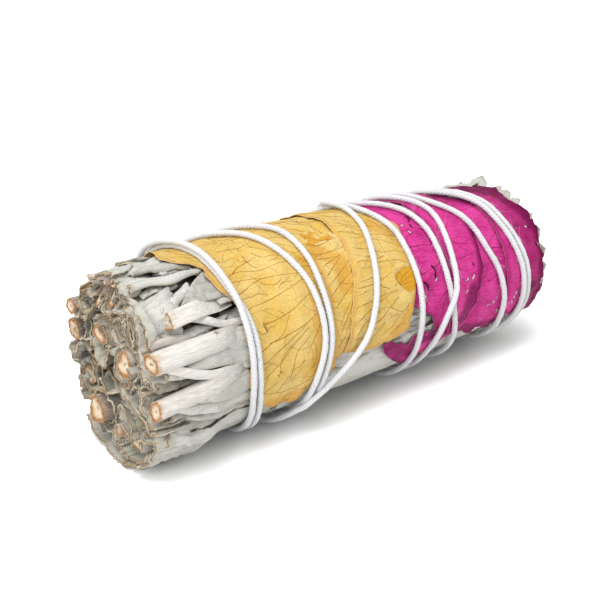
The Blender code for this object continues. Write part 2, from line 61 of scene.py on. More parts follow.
back = Vector((math.sin(AZIMUTH) * math.cos(ELEVATION),
               -math.cos(AZIMUTH) * math.cos(ELEVATION),
               math.sin(ELEVATION)))
camera = bpy.data.objects.new("camera", bpy.data.cameras.new("camera"))
camera.data.lens = LENS
camera.data.clip_start = 0.005
camera.location = LOOKED_AT + back * DISTANCE
camera.rotation_mode = "QUATERNION"
camera.rotation_quaternion = (-back).to_track_quat("-Z", "Y")
bpy.context.scene.collection.objects.link(camera)
bpy.context.scene.camera = camera
print("camera at", [round(value, 3) for value in camera.location])

# %% [markdown]
# ## Building materials from small steps
# A node tree is easier to read as a few named steps than as a drawing. A `Finish` holds one
# material and the colour built up so far: `lay` puts a colour over it where a value, such as a
# noise or the distance from the cut, lies between two others.

# %% Node helpers
SHADED = 0.40
BLACK = (0.0, 0.0, 0.0)


class Finish:
    """A matt material while it is built: its node tree, its shader and its colour so far."""

    def __init__(self, name, roughness, sheen=0.0, specular=0.1):
        self.material = bpy.data.materials.new(name)
        self.material.use_nodes = True
        self.tree = self.material.node_tree
        self.shader = self.tree.nodes["Principled BSDF"]
        for socket, value in (("Roughness", roughness), ("Specular IOR Level", specular),
                              ("Sheen Weight", sheen), ("Sheen Roughness", 0.5)):
            self.shader.inputs[socket].default_value = value

    def node(self, kind, options=None, **inputs):
        """One shader node. Keys like i0 name a socket by number, the others by name.

        A plain value sets the socket, and another node's output is linked to it."""
        node = self.tree.nodes.new("ShaderNode" + kind)
        for option, value in (options or {}).items():
            setattr(node, option, value)
        for key, value in inputs.items():
            by_number = key[0] == "i" and key[1:].isdigit()
            socket = node.inputs[int(key[1:]) if by_number else key]
            if isinstance(value, bpy.types.NodeSocket):
                self.tree.links.new(value, socket)
            else:
                socket.default_value = value
        return node

    def maths(self, operation, first, second=0.0):
        """The result of one sum."""
        return self.node("Math", {"operation": operation}, i0=first, i1=second).outputs[0]

    def times(self, first, second):
        """The first value times the second."""
        return self.maths("MULTIPLY", first, second)

    def plus(self, first, second, times=None):
        """The first value and the second, or that many times the second."""
        return self.maths("ADD", first, second if times is None else self.times(second, times))

    def share(self, value, low, high, start=0.0, end=1.0):
        """A value turned into a smooth share: start below low, end above high."""
        options = {"interpolation_type": "SMOOTHSTEP"}
        node = self.node("MapRange", options, i0=value, i1=low, i2=high, i3=start, i4=end)
        return node.outputs[0]

    def mix(self, share, first, second):
        """Two colours mixed, more of the second as the share grows."""
        first, second = (colour if isinstance(colour, bpy.types.NodeSocket) else (*colour, 1)
                         for colour in (first, second))
        node = self.node("Mix", {"data_type": "RGBA"}, i0=share, i6=first, i7=second)
        return node.outputs[2]

    def between(self, value, low, high, first, second):
        """The first colour where the value is below low, the second where it is above high."""
        return self.mix(self.share(value, low, high), first, second)

    def lay(self, colour, value, low, high, start, end):
        """Lay a colour over the one so far, as thickly as the value's share."""
        self.colour = self.mix(self.share(value, low, high, start, end), self.colour, colour)

    def held(self, name):
        """A number stored on the mesh."""
        return self.node("Attribute", {"attribute_name": name}).outputs["Fac"]

    def millimetres(self, stretch=(1, 1, 1), own_map=False):
        """Places on the object in millimetres, or on its own map, stretched along each axis."""
        where = self.node("TexCoord").outputs["UV" if own_map else "Object"]
        scale = [value * (1 if own_map else 1000) for value in stretch]
        return self.node("Mapping", i0=where, i3=scale).outputs[0]

    def noise(self, places, scale, detail=3.0, rough=0.55):
        """Cloudy noise, with scale patches in a millimetre."""
        return self.node("TexNoise", i0=places, i2=scale, i3=detail, i4=rough).outputs["Fac"]

    def cracks(self, places, scale):
        """How far a point is from the nearest wall of a net of cells."""
        options = {"feature": "DISTANCE_TO_EDGE"}
        return self.node("TexVoronoi", options, Vector=places, Scale=scale).outputs["Distance"]

    def finish(self, height, depth_mm):
        """Colour and relief joined to the shader; depth is the relief's height in millimetres.

        The room is bright enough to wash out its white floor, so every colour is darkened."""
        colour = self.mix(SHADED, self.colour, BLACK)
        self.tree.links.new(colour, self.shader.inputs["Base Color"])
        relief = self.node("Bump", Strength=1.0, Distance=depth_mm * MM, Height=height)
        self.tree.links.new(relief.outputs[0], self.shader.inputs["Normal"])


print("share of black in every colour:", SHADED)

# %% [markdown]
# ## Floor and light
# The stick lies on a white floor in a white room. A broad lamp above the cut end gives the soft
# shadow close under the stick, and a weak one on the left lights the cut. The light is
# strong for the floor, which washes out to white a little way from the stick.

# %% Stage
def lamp(name, place_m, size, watts):
    """A square soft box that faces the stick."""
    made = bpy.data.objects.new(name, bpy.data.lights.new(name, "AREA"))
    made.data.size = size
    made.data.energy = watts
    made.location = place_m
    made.rotation_mode = "QUATERNION"
    made.rotation_quaternion = (-Vector(place_m)).to_track_quat("-Z", "Y")
    bpy.context.scene.collection.objects.link(made)


floor_mesh = bpy.data.meshes.new("floor")
floor_mesh.from_pydata([(-4, -4, 0), (4, -4, 0), (4, 4, 0), (-4, 4, 0)], [], [(0, 1, 2, 3)])
floor = bpy.data.objects.new("floor", floor_mesh)
bpy.context.scene.collection.objects.link(floor)
paper = Finish("white_paper", 0.9, specular=0.0)
paper.shader.inputs["Base Color"].default_value = (0.94, 0.94, 0.94, 1)
floor_mesh.materials.append(paper.material)

room = bpy.data.worlds.new("white_room")
room.use_nodes = True
room.node_tree.nodes["Background"].inputs[0].default_value = (1.0, 1.0, 1.0, 1)
room.node_tree.nodes["Background"].inputs[1].default_value = 0.74
bpy.context.scene.world = room
bpy.context.scene.view_settings.view_transform = "Standard"
lamp("overhead", (-0.30, -0.16, 1.05), 0.6, 10.5)
lamp("left", (-0.62, -0.26, 0.38), 0.40, 3.6)
print("stage set")

# %% [markdown]
# ## The shape of the bundle
# A place in the bundle is x along it, an angle in degrees from the top towards the front, and a
# distance from its axis. The outside is a barrel pressed flat where it lies. The sage fills it
# up to `sage_radius`, lower where the petals wrap it and flared at the cut end.

# %% Bundle coordinates
CUT_X, TIP_X = -51.7, 51.7
CUT_RADIUS, MIDDLE_RADIUS, TIP_RADIUS = 18.4, 18.4, 16.0
FLARE, FACE_LEAN = 0.9, 2.5
SAG, SET_BACK = 1.9, 4.5
AXIS_Z, STRING_LIFT = 18.4, 0.4
SURFACE_SOFTNESS = 16
MIDDLE_OF_BOX = (-1.7, -0.1)
PETAL_ROOM = 0.8


def from_top(angle):
    """An angle brought to between -180 and 180."""
    return (angle + 180) % 360 - 180


def smooth_step(low, high, value):
    """0 below low, 1 above high, and a smooth slope between them."""
    t = np.clip((value - low) / (high - low), 0.0, 1.0)
    return t * t * (3.0 - 2.0 * t)


def outline(x, angle):
    """The bundle's radius: a barrel that tapers to the tip, pressed flat where it lies."""
    s = (x - CUT_X) / (TIP_X - CUT_X)
    bulge = MIDDLE_RADIUS - (CUT_RADIUS + TIP_RADIUS) / 2
    barrel = CUT_RADIUS + (TIP_RADIUS - CUT_RADIUS) * s + bulge * 4 * s * (1 - s)
    down = np.maximum(-np.cos(np.radians(angle)), 0.001)
    lying = (AXIS_Z - STRING_LIFT * smooth_step(-46.0, -38.0, x)) / down
    return (barrel**-SURFACE_SOFTNESS + lying**-SURFACE_SOFTNESS) ** (-1 / SURFACE_SOFTNESS)


def sage_radius(x, angle):
    """The radius to which the sage reaches, lower under the petals and flared at the cut end."""
    wrapped = smooth_step(-43.0, -35.0, x)
    turn = from_top(angle)
    sags = smooth_step(-80, -45, turn) * (1 - smooth_step(-5, 22, turn))
    return outline(x, angle) - PETAL_ROOM * wrapped + (FLARE - SAG * sags) * (1 - wrapped)


def place(x, angle, radius, lowest=0.0):
    """A point of the bundle from its place along, round and out from the axis."""
    turn = np.radians(angle)
    y = -radius * np.sin(turn) - MIDDLE_OF_BOX[1]
    z = AXIS_Z + radius * np.cos(turn)
    return np.stack([x - MIDDLE_OF_BOX[0] + 0 * y, y, np.maximum(z, lowest)], axis=-1)


print("thickness at the cut and the tip:",
      [round(2 * float(outline(x, 0.0)), 1) for x in (CUT_X, TIP_X)])

# %% [markdown]
# ## Unevenness and the cut face
# Dried leaves are never even, so every surface uses `waver`, which gives smooth random hills.
# The cut face is a slanted disc. A place on it is (y, z) from the bundle's axis, and `from_face`
# carries it along the bundle to x. Leaves never go lower than FLOOR_GAP or nearer than NEAREST_X.

# %% Unevenness and the cut face
FLOOR_GAP, NEAREST_X = 0.27, -54.1


def waver(seed, size, *places):
    """Smooth random hills from about -1 to 1: sine waves in random directions, in three
    layers, each with waves half as long and half as high as the one before."""
    rng = np.random.default_rng(seed)
    total = 0.0
    for layer in range(3):
        for _ in range(4):
            way = rng.normal(size=len(places))
            way = way / np.linalg.norm(way) * 2 * np.pi / (size / 2**layer)
            phase = rng.uniform(0, 2 * np.pi)
            total = total + 0.5**layer * np.sin(sum(w * p for w, p in zip(way, places)) + phase)
    return total / 2.6


def set_back(angle, radius):
    """How far the leaves on top and behind end short of the cut, most at the rim."""
    turn = from_top(angle)
    share = smooth_step(-52, -34, turn) * (1 - smooth_step(-2, 14, turn))
    return SET_BACK * share * smooth_step(11.0, CUT_RADIUS, radius)


def from_face(x, y, z):
    """A point of the cut face's disc, carried along the bundle to x.

    Smooth noise shifts the inside of the disc, so that the shares lose their round shapes."""
    inside = 1 - smooth_step(12.5, 18.0, np.hypot(y, z))
    y, z = (y + 0.6 * inside * waver(31, 8.0, y, z), z + 0.6 * inside * waver(32, 8.0, y, z))
    angle = np.degrees(np.arctan2(-y, z))
    x = x + set_back(angle, np.hypot(y, z)) * (1 - smooth_step(-50.0, -38.0, x))
    return place(x, angle, np.hypot(y, z) / CUT_RADIUS * sage_radius(x, angle), FLOOR_GAP)


def cut_plane(y):
    """Where the slanted cut crosses the bundle, nearer its tip at the back than at the front."""
    return CUT_X + FACE_LEAN * y / CUT_RADIUS


print("the cut leans over", round(float(cut_plane(CUT_RADIUS) - cut_plane(-CUT_RADIUS)), 1), "mm")

# %% [markdown]
# ## From grids to meshes
# Every piece is a grid of points, worked out as whole arrays. A leaf or petal is a `blade`: the
# grid given a thin wall and closed round its four edges. A stem or string is a `pipe`: the grid
# wrapped round on itself and closed at both ends. Each point also keeps how far it is from the
# cut end and from the blade's edge, because dried leaves turn brown there.

# %% Sheets
FAR, OUTSIDE = 50.0, 1.5


def corners(rows, columns, wrapped=False):
    """The four corner numbers of each square of a grid, turning the way its normal needs."""
    number = np.arange(rows * columns).reshape(rows, columns)
    if wrapped:
        number = np.concatenate([number, number[:, :1]], axis=1)
    return np.stack([number[:-1, :-1], number[1:, :-1], number[1:, 1:], number[:-1, 1:]],
                    axis=-1).reshape(-1, 4)


def grid(first, second):
    """Two lists of values spread over a grid, the first along it and the second across."""
    return np.meshgrid(first, second, indexing="ij")


def unit(vectors):
    """Vectors scaled to length 1."""
    return vectors / np.maximum(np.linalg.norm(vectors, axis=-1, keepdims=True), 1e-9)


def face_way(points):
    """The direction that each point of a grid faces: along crossed with across."""
    return unit(np.cross(np.gradient(points, axis=0), np.gradient(points, axis=1)))


def thinned(thickness, side, least=0.5, reach_in=0.6):
    """A thickness that falls smoothly to its least share at a blade's side."""
    return thickness * (least + (1 - least) * smooth_step(0, reach_in, side))


def blade(points, thickness, cut=FAR, edge=FAR, tint=0.5, uv=None, slot=0):
    """A thin closed sheet: the grid pushed half its thickness to either side, with a rim."""
    rows, columns = points.shape[:2]
    half = face_way(points) * (np.asarray(thickness) / 2 * np.ones((rows, columns)))[..., None]
    both = np.concatenate([(points + half).reshape(-1, 3), (points - half).reshape(-1, 3)])
    top = corners(rows, columns)
    under = rows * columns
    number = np.arange(under).reshape(rows, columns)
    walls = [top, top[:, ::-1] + under]
    for line, turned in ((number[:, 0], True), (number[:, -1], False),
                         (number[0], False), (number[-1], True)):
        a, b = line[:-1], line[1:]
        wall = np.stack([a, b, b + under, a + under], axis=-1)
        walls.append(wall[:, ::-1] if turned else wall)
    if uv is None:
        uv = points[..., :2]
    flat = np.concatenate([uv.reshape(-1, 2)] * 2)
    faces = np.concatenate(walls)
    numbers = {name: np.concatenate([(value * np.ones((rows, columns))).ravel()] * 2)
               for name, value in (("cut", cut), ("edge", edge), ("tint", tint))}
    numbers["skin"] = np.repeat([1.0, -1.0], rows * columns)
    return dict(points=both, quads=faces, uv=flat[faces], slot=slot, **numbers)


print("squares in a grid of 3 by 4 points:", len(corners(3, 4)))

# %% [markdown]
# ## Rods
# A stem or string is the same grid wrapped round on itself, with a pole in the middle of each
# end. `round_path` makes its rings: circles with low lobes, set square to a path.

# %% Rods
def pipe(rings, ring=OUTSIDE, cut=FAR, tint=0.5, length=None, slot=0):
    """A closed tube through rings of points, with a pole in the middle of each end."""
    rows, columns = rings.shape[:2]
    quads = corners(rows, columns, wrapped=True)
    poles = np.stack([rings[0].mean(0), rings[-1].mean(0)])
    first = np.arange(columns)
    last = first + (rows - 1) * columns
    start, end = rows * columns, rows * columns + 1
    caps = np.concatenate([
        np.stack([first, np.roll(first, -1), np.full(columns, start)], axis=-1),
        np.stack([np.roll(last, -1), last, np.full(columns, end)], axis=-1)])
    along = np.linspace(0, 1, rows) if length is None else length
    u, v = grid(along, np.arange(columns + 1) / columns)
    spread = corners(rows, columns + 1)
    uv = np.stack([u.ravel()[spread], v.ravel()[spread]], axis=-1)

    def each(value):
        held = np.reshape(value, (-1, 1) if np.ndim(value) == 1 else np.shape(value))
        held = held * np.ones((rows, columns))
        return np.concatenate([held.ravel(), [held[0, 0], held[-1, 0]]])

    made = dict(points=np.concatenate([rings.reshape(-1, 3), poles]), quads=quads, tris=caps,
                uv=uv, slot=slot, cut=each(cut), edge=each(FAR), tint=each(tint),
                ring=each(ring))
    made["ring"][start] = 0.0 if np.ndim(ring) else made["ring"][start]
    return made


def round_path(path, radii, sides, wide=1.0, turned=0.0, lobes=0.0):
    """Rings round a path, their tops turned away from the bundle's axis.

    The section is a circle with three lobes, and it may be wider than high."""
    along = unit(np.gradient(path, axis=0))
    out = path * (0, 1, 1) + (0, MIDDLE_OF_BOX[1], -AXIS_Z)
    out = unit(out - (out * along).sum(1, keepdims=True) * along)
    side = np.cross(along, out)
    turn = np.linspace(0, 2 * np.pi, sides, endpoint=False)[None, :] + 0 * path[:, :1]
    radius = (np.asarray(radii) * np.ones(len(path)))[:, None]
    radius = radius * (1 + lobes * np.cos(3 * (turn - np.reshape(turned, (-1, 1)))))
    return (path[:, None] + (radius * np.cos(turn) * wide)[..., None] * side[:, None]
            + (radius * np.sin(turn))[..., None] * out[:, None])


print("points in a rod of 5 rings of 8:", len(pipe(np.ones((5, 8, 3)))["points"]))

# %% [markdown]
# ## One object for each piece
# All sheets and rods of a piece become one mesh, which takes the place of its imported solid. The
# values that its finish reads go along as attributes: the distance from the cut and from the
# edge, a tint, the ring on a cut stem, the marks on a petal and which skin of a sheet it is.

# %% Objects
DEEP = 2.8


def loose(points, quads, slot):
    """A small part with no cut, edge or tint of its own, such as a vein or a fibre."""
    plain = {key: np.full(len(points), value) for key, value in
             (("cut", FAR), ("edge", FAR), ("tint", 0.5))}
    return dict(points=points, quads=quads, uv=np.zeros((len(quads), 4, 2)), slot=slot, **plain)


def object_from(name, parts, materials, node):
    """One object from many parts, which rides on the bundle and stands for its solid.

    Its points also hold how deep they lie below the outside, for the painted shade between leaves."""
    points = np.concatenate([part["points"] for part in parts])
    starts = np.cumsum([0] + [len(part["points"]) for part in parts])
    faces, uv, slots = [], [], []
    for kind in ("quads", "tris"):
        for part, start in zip(parts, starts):
            if kind in part:
                faces += (part[kind] + start).tolist()
                slots.append(np.full(len(part[kind]), part["slot"]))
                uv.append(part["uv"] if kind == "quads" else np.zeros((part[kind].size, 2)))
    mesh = bpy.data.meshes.new(name)
    mesh.from_pydata(points * MM, [], faces)
    for material in materials:
        mesh.materials.append(material)
    mesh.polygons.foreach_set("material_index", np.concatenate(slots))
    mesh.polygons.foreach_set("use_smooth", np.ones(len(faces), bool))
    flat = np.concatenate([map_part.reshape(-1, 2) for map_part in uv])
    mesh.uv_layers.new(name="UVMap").data.foreach_set("uv", flat.ravel().astype(np.float32))
    x, y, z = points.T + np.reshape((*MIDDLE_OF_BOX, -AXIS_Z), (3, 1))
    below = sage_radius(x, np.degrees(np.arctan2(-y, z))) - np.hypot(y, z)
    held = {}
    for key in ("cut", "edge", "tint", "ring", "mark", "skin"):
        held[key] = np.concatenate(
            [part.get(key, np.full(len(part["points"]), OUTSIDE)) for part in parts])
    # Painted shade: the deeper a point lies below the outside, the darker its finish, fully at DEEP
    # millimetres, fading out towards the cut face and the tip end.
    inside = smooth_step(-50.5, -48.0, x) * (1 - smooth_step(34, 41, x))
    held["deep"] = np.clip(below / DEEP, 0, 1) * inside
    for key, values in held.items():
        attribute = mesh.attributes.new(key, "FLOAT", "POINT")
        attribute.data.foreach_set("value", values.astype(np.float32))
    mesh.update()
    made = bpy.data.objects.new(name, mesh)
    bpy.context.scene.collection.objects.link(made)
    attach(made, "root")
    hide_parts(node)
    print(f"{name}: {len(mesh.loops) - 2 * len(faces)} triangles")


# %% [markdown]
# ## White sage leaves
# The leaves of white sage are covered in a fine felt, so they look grey-white and slightly
# pebbled, and they shine along their edges like velvet. Where the knife went through, the dried
# rim is orange-brown. Deep leaves and those with a negative tint get painted shade.

# %% Leaf finish
leaf = Finish("sage_leaf", 0.85, sheen=0.12, specular=0.08)
spots = leaf.millimetres()
patches = leaf.noise(spots, 0.22, 4.0)
grain = leaf.noise(spots, 3.2, 4.0, 0.65)
shade = leaf.plus(leaf.times(leaf.held("tint"), 0.55), patches, 0.5)
leaf.colour = leaf.between(shade, 0.25, 0.8, (0.47, 0.47, 0.41), (0.82, 0.81, 0.76))
# Painted shade: a dark brown-grey where the share is lowest, above all on the leaves with a negative
# tint that lie behind the others.
leaf.lay((0.20, 0.17, 0.12), shade, -0.05, 0.22, 0.85, 0.0)
leaf.lay((0.40, 0.42, 0.32), grain, 0.38, 0.7, 0.0, 0.32)
folds = leaf.noise(leaf.millimetres((0.07, 0.30, 0.30)), 1.0, 1.0)
fold = leaf.maths("ABSOLUTE", leaf.maths("SUBTRACT", folds, 0.5))
# Painted shade: thin dark lines along the leaves' folds, which the relief also sinks.
leaf.lay((0.24, 0.20, 0.14), fold, 0.0, 0.018, 0.3, 0.0)
leaf.lay((0.66, 0.55, 0.40), leaf.noise(spots, 0.5), 0.5, 0.72, 0.0, 0.35)
cut = leaf.held("cut")
leaf.lay((0.60, 0.55, 0.41), leaf.plus(cut, patches, 3.0), 1.6, 4.5, 0.5, 0.0)
flecks = leaf.times(leaf.share(grain, 0.56, 0.64), leaf.share(cut, 0.3, 1.6, 0.6, 0.0))
leaf.colour = leaf.mix(flecks, leaf.colour, (0.38, 0.19, 0.06))
dry = leaf.noise(spots, 0.28, 2.0)
rim = leaf.between(dry, 0.56, 0.62, (0.62, 0.52, 0.32), (0.34, 0.15, 0.04))
leaf.lay(rim, leaf.plus(leaf.held("edge"), grain, 0.35), 0.16, 0.36, 0.6, 0.0)
flesh = leaf.between(patches, 0.4, 0.6, (0.40, 0.29, 0.16), (0.70, 0.64, 0.48))
brown = leaf.between(leaf.noise(spots, 0.9), 0.42, 0.66, (0.20, 0.080, 0.022), (0.46, 0.32, 0.17))
section = leaf.between(leaf.maths("ABSOLUTE", leaf.held("skin")), 0.5, 0.85, flesh, brown)
ragged_cut = leaf.plus(cut, leaf.maths("SUBTRACT", grain, 0.5), 0.5)
leaf.lay(section, ragged_cut, 0.05, 0.22, 0.95, 0.0)
# Painted shade: leaves that lie deep are darkened to a brown-black.
leaf.lay((0.10, 0.08, 0.055), leaf.held("deep"), 0.15, 1.0, 0.0, 0.85)
felt = leaf.share(leaf.cracks(spots, 2.4), 0.0, 0.18, 0.0, 0.5)
pebbles = leaf.plus(leaf.times(grain, 0.7), felt)
leaf.finish(leaf.plus(pebbles, leaf.share(fold, 0.0, 0.10), 2.0), 0.10)
print("nodes in the leaf's finish:", len(leaf.tree.nodes))

# %% [markdown]
# ## Sage stems
# The stems are paler than the leaves and streaked lengthwise. Their cut ends show a cream pith
# in a brown ring, which the finish reads off the rings of the rod.

# %% Stem finish
wood = Finish("sage_stem", 0.75, sheen=0.1, specular=0.1)
streaks = wood.noise(wood.millimetres((0.35, 3.0, 3.0)), 1.0, 4.0)
grain = wood.noise(wood.millimetres(), 2.5, 4.0)
blots = wood.noise(wood.millimetres(), 0.55)
pale = wood.between(streaks, 0.3, 0.7, (0.74, 0.70, 0.62), (0.95, 0.93, 0.89))
bark = wood.between(streaks, 0.3, 0.7, (0.26, 0.21, 0.18), (0.52, 0.42, 0.36))
wood.colour = wood.between(wood.held("tint"), 0.1, 0.85, bark, pale)
cut = wood.held("cut")
wood.lay((0.66, 0.42, 0.22), wood.plus(cut, blots, 6.0), 2.6, 4.6, 0.7, 0.0)
wood.lay((0.34, 0.15, 0.05), wood.plus(cut, grain, 0.6), 0.3, 0.6, 0.8, 0.0)
ring = wood.held("ring")
wobble = wood.plus(ring, wood.maths("SUBTRACT", grain, 0.5), 0.6)
pith = wood.between(wobble, 0.06, 0.26, (0.46, 0.30, 0.18), (0.84, 0.73, 0.55))
browned = wood.share(wood.plus(ring, blots), 0.85, 1.2, 0.0, 0.75)
pith = wood.mix(browned, pith, (0.62, 0.37, 0.18))
pith = wood.between(wobble, 0.66, 0.82, pith, (0.40, 0.17, 0.05))
pith = wood.between(wobble, 0.90, 1.04, pith, (0.66, 0.48, 0.30))
wood.colour = wood.between(ring, 1.0, 1.12, pith, wood.colour)
# Painted shade: stems that lie deep are darkened to a brown-black.
wood.lay((0.16, 0.12, 0.09), wood.held("deep"), 0.2, 1.0, 0.0, 0.75)
wood.finish(wood.plus(streaks, grain, 0.5), 0.12)
print("nodes in the stem's finish:", len(wood.tree.nodes))

# %% [markdown]
# ## Fourteen sprigs share the bundle
# Each sprig fills what is nearer its own stem than any other, so the sprigs never run through
# each other. `reach` gives that share as a distance from the stem in every direction.

# %% Sprig shares
STEMS = np.array([
    (-12.8, 10.6, 1.65), (-14.6, 5.2, 1.9), (-15.0, -3.0, 1.75), (4.6, 4.6, 1.9),
    (-4.8, 1.1, 2.2), (4.5, -9.8, 2.0), (-5.4, -12.9, 1.6), (6.2, 13.2, 1.4),
    (-1.6, 14.2, 1.5), (-5.2, 8.4, 1.7), (14.4, 1.5, 1.8), (12.0, 9.1, 1.6),
    (12.2, -6.6, 1.4), (-10.8, -8.6, 1.3)])
STEM_MOVE = [(-1.5, 1.0), (-1.4, 0.8), (-1.9, 1.0), (1.2, -0.7), (-1.0, 0.9), (0, 0), (-1.8, 1.0),
             (0.6, -1.6), (0.5, -0.9), (-0.7, 0.8), (2.0, -0.3), (3.6, -2.7), (0, 0), (0, 0)]
STEM_CUT = [4.4, -0.4, -0.4, 0.3, -0.5, -1.8, 0.4, 0.4, 0.2, 1.0, 0.2, -0.6, 0.9, 1.4]
STEM_DRIFT = [-7, -3, -8, 0, 0, 0, 0, 2, 0, 0, 0, 0, 0, -3]
OVAL = [1.0, 1.05, 1.0, 0.95, 0.92, 0.92, 1.15, 0.9, 1.0, 1.0, 1.0, 0.95, 1.1, 1.0]
GAP = 0.3


def reach(number, turn):
    """How far a sprig's share goes from its stem: the nearest of the lines half way to the
    other stems and the bundle's rim, and how much of it is rim."""
    centre = STEMS[number, :2]
    ray = np.stack([np.cos(turn), np.sin(turn)], axis=-1)
    along = ray @ centre
    to_rim = np.sqrt(along**2 - centre @ centre + CUT_RADIUS**2) - along
    total = to_rim**-10.0
    for other in range(len(STEMS)):
        if other != number:
            away = STEMS[other, :2] - centre
            span = np.linalg.norm(away)
            facing = np.maximum(ray @ (away / span), 1e-6)
            total = total + ((span / 2 - GAP / 2) / facing) ** -10.0
    limit = total**-0.1
    return limit, (limit / to_rim) ** 8


RIM_FROM = 11
at_rim = [number for number in range(len(STEMS)) if np.hypot(*STEMS[number, :2]) > RIM_FROM]
print("sprigs at the rim:", len(at_rim), "inside:", len(STEMS) - len(at_rim))

# %% [markdown]
# ## Leaves folded round a stem
# Seen from its cut end a sprig is a stem with leaves folded round it, so the knife shows each
# leaf as a waved line. Each could be a traced line, but there are far too many, so it is an
# arc round its stem, pleated by sine waves: arcs nest in each other as the real leaves do.

# %% Leaves round a stem
LEAF_THICKNESS = 0.42
STEM_ROOM, RIM_ROOM = 0.35, 0.25


def under_flank(y, z, most=15.0):
    """Places of the cut face, kept below the leaves and stems placed by hand on its side."""
    angle = np.degrees(np.arctan2(-y, z))
    placed = smooth_step(12, 26, angle) * (1 - smooth_step(128, 145, angle))
    radius = np.hypot(y, z)
    scale = np.minimum(1, (most + (CUT_RADIUS - 0.2 - most) * (1 - placed)) / radius)
    return y * scale, z * scale


def round_stem(number, radius, turn):
    """The place of the cut face that lies at a distance and direction from a stem."""
    y, z = STEMS[number, :2]
    return y + radius * np.cos(turn), z + radius * np.sin(turn)


def packed_leaf(number, share, turns, pleats, height, cut, seed, length=8.0):
    """A leaf folded round the stem: an arc at a share of the way from stem to limit, pleated
    by sine waves. The knife cuts it off in front, and further in it lies closer to the stem."""
    rng = np.random.default_rng(seed)
    deep = np.array([0.0, 0.1, 0.4, 1.4, 3.0, 5.4, 8.0]) * length / 8
    u, v = grid(deep, np.linspace(0, 1, int(9 + 11 * abs(turns[1] - turns[0]))))
    turn = turns[0] + (turns[1] - turns[0]) * v
    limit, _ = reach(number, turn)
    stem_side = STEMS[number, 2] + STEM_ROOM
    count, phase = pleats
    wave = (np.sin(count * turn + phase + 0.05 * u) * 0.7
            + 0.45 * np.sin(2.3 * count * turn + rng.uniform(0, 6.3) - 0.1 * u))
    hook = (1 - smooth_step(0.0, 0.12, v)) - (1 - smooth_step(0.0, 0.1, 1 - v))
    s = np.clip(share + height * wave + 0.14 * hook * rng.choice([-1, 1]), 0.02, 0.985)
    s = s * (1 - 0.5 * (u / length) ** 0.8)
    radius = stem_side + (limit - RIM_ROOM - stem_side) * s
    y, z = under_flank(*round_stem(number, radius, turn))
    edge = cut_plane(y) + cut + 0.45 * np.sin(2.0 * turn + phase) + 0.16 * waver(seed, 1.8, y, z)
    side = np.minimum(v, 1 - v) * (turns[1] - turns[0]) * radius
    thickness = thinned(LEAF_THICKNESS * 1.15, side, reach_in=0.5)
    return blade(from_face(edge + u, y, z), thickness, cut=u, tint=rng.uniform(0.1, 1))


example = packed_leaf(0, 0.5, (0.0, 2.0), (6, 0.0), 0.1, 0.0, 1)
print("squares in one folded leaf:", len(example["quads"]))

# %% [markdown]
# ## Rolled and folded leaves
# Some leaves dried as tubes, and the clearest ones at the cut were followed on the photograph
# as lines. A tube is a spiral. A traced line is sampled finely and its corners are rounded by
# running averages, which keeps it near the traced places.

# %% Rolled and folded leaves
FOLDED_THICKNESS = 0.5


def rolled_leaf(centre, radius, turns, start, cut, length, seed, thickness=LEAF_THICKNESS,
                tint=0.6, slot=0):
    """A leaf rolled lengthwise into a tube: a spiral round a point of the cut face."""
    rng = np.random.default_rng(seed)
    deep = np.array([0.0, 0.1, 0.35, 1.2, 2.5, 4.0, 5.6, 7.0]) * length / 7
    u, v = grid(deep, np.linspace(0, 1, int(12 + 16 * turns)))
    turn = start + 2 * np.pi * turns * v + 0.06 * u
    out = radius * (0.5 + 0.5 * v) * (1 + 0.1 * np.sin(3 * turn + rng.uniform(0, 6.3)))
    y = centre[0] + out * np.cos(turn)
    z = centre[1] + out * np.sin(turn)
    edge = cut_plane(y) + cut + 0.25 * np.sin(turn) + 0.12 * waver(seed, 1.5, y, z)
    return blade(from_face(edge + u, y, z), thickness, cut=u, tint=tint, slot=slot)


def points_at(line, at):
    """Places on a line of points, where at counts its points, with shares in between."""
    return np.stack([np.interp(at, np.arange(len(line)), column) for column in line.T], axis=-1)


def rounded(values, times=2):
    """A list of points with its corners rounded by running averages; its ends stay put."""
    for _ in range(times):
        padded = np.pad(values, ((3, 3), (0, 0)), mode="reflect", reflect_type="odd")
        values = sum(padded[k:k + len(values)] for k in range(7)) / 7
    return values


def folded_leaf(line, cut, length, seed, spread=0.0, tint=0.7, waves=0.25):
    """A leaf that the knife crossed: its section follows a line of places y, z, y, z of the cut
    face, and it runs into the bundle for its length, away from the axis by its spread."""
    line = np.reshape(line, (-1, 2))
    y0, z0 = rounded(points_at(line, np.linspace(0, len(line) - 1, 7 * len(line))), 1).T
    deep = np.array([0.0, 0.1, 0.3, 0.8, 1.6, 2.8, 4.4, 6.5]) * length / 6.5
    u = deep[:, None] + 0 * y0
    y = y0 * (1 + spread * u) + waves * waver(seed, 3.0, y0 + 0.3 * u, z0)
    z = z0 * (1 + spread * u) + waves * waver(seed + 1, 3.0, y0, z0 + 0.3 * u)
    scale = np.minimum(1, (CUT_RADIUS - 0.1) / np.hypot(y, z))
    y, z = y * scale, z * scale
    edge = cut_plane(y) + cut + 0.3 * waver(seed + 2, 3.0, y, z) + 0.12 * waver(seed, 1.1, y, z)
    along = np.linspace(0, 1, len(y0))
    side = np.minimum(along, 1 - along) * len(y0) * 0.3
    wall = thinned(FOLDED_THICKNESS, side)
    return blade(from_face(edge + u, y, z), wall, cut=u, edge=side, tint=tint)


example = folded_leaf([0, 0, 2, 1, 3, 3], 0.0, 6.0, 1)
print("squares in a leaf traced by three places:", len(example["quads"]))

# %% [markdown]
# ## Leaves on the flank
# Along its side the bundle shows the leaves' flat felted faces. Each is the sheet between two
# edges that were read off the photograph, as places along and round the bundle. It is crumpled
# by smooth noise, and the string and petals hold it down.

# %% Leaves on the flank
TRACED_ROWS = 34
PLEATED_BELOW = 2.4


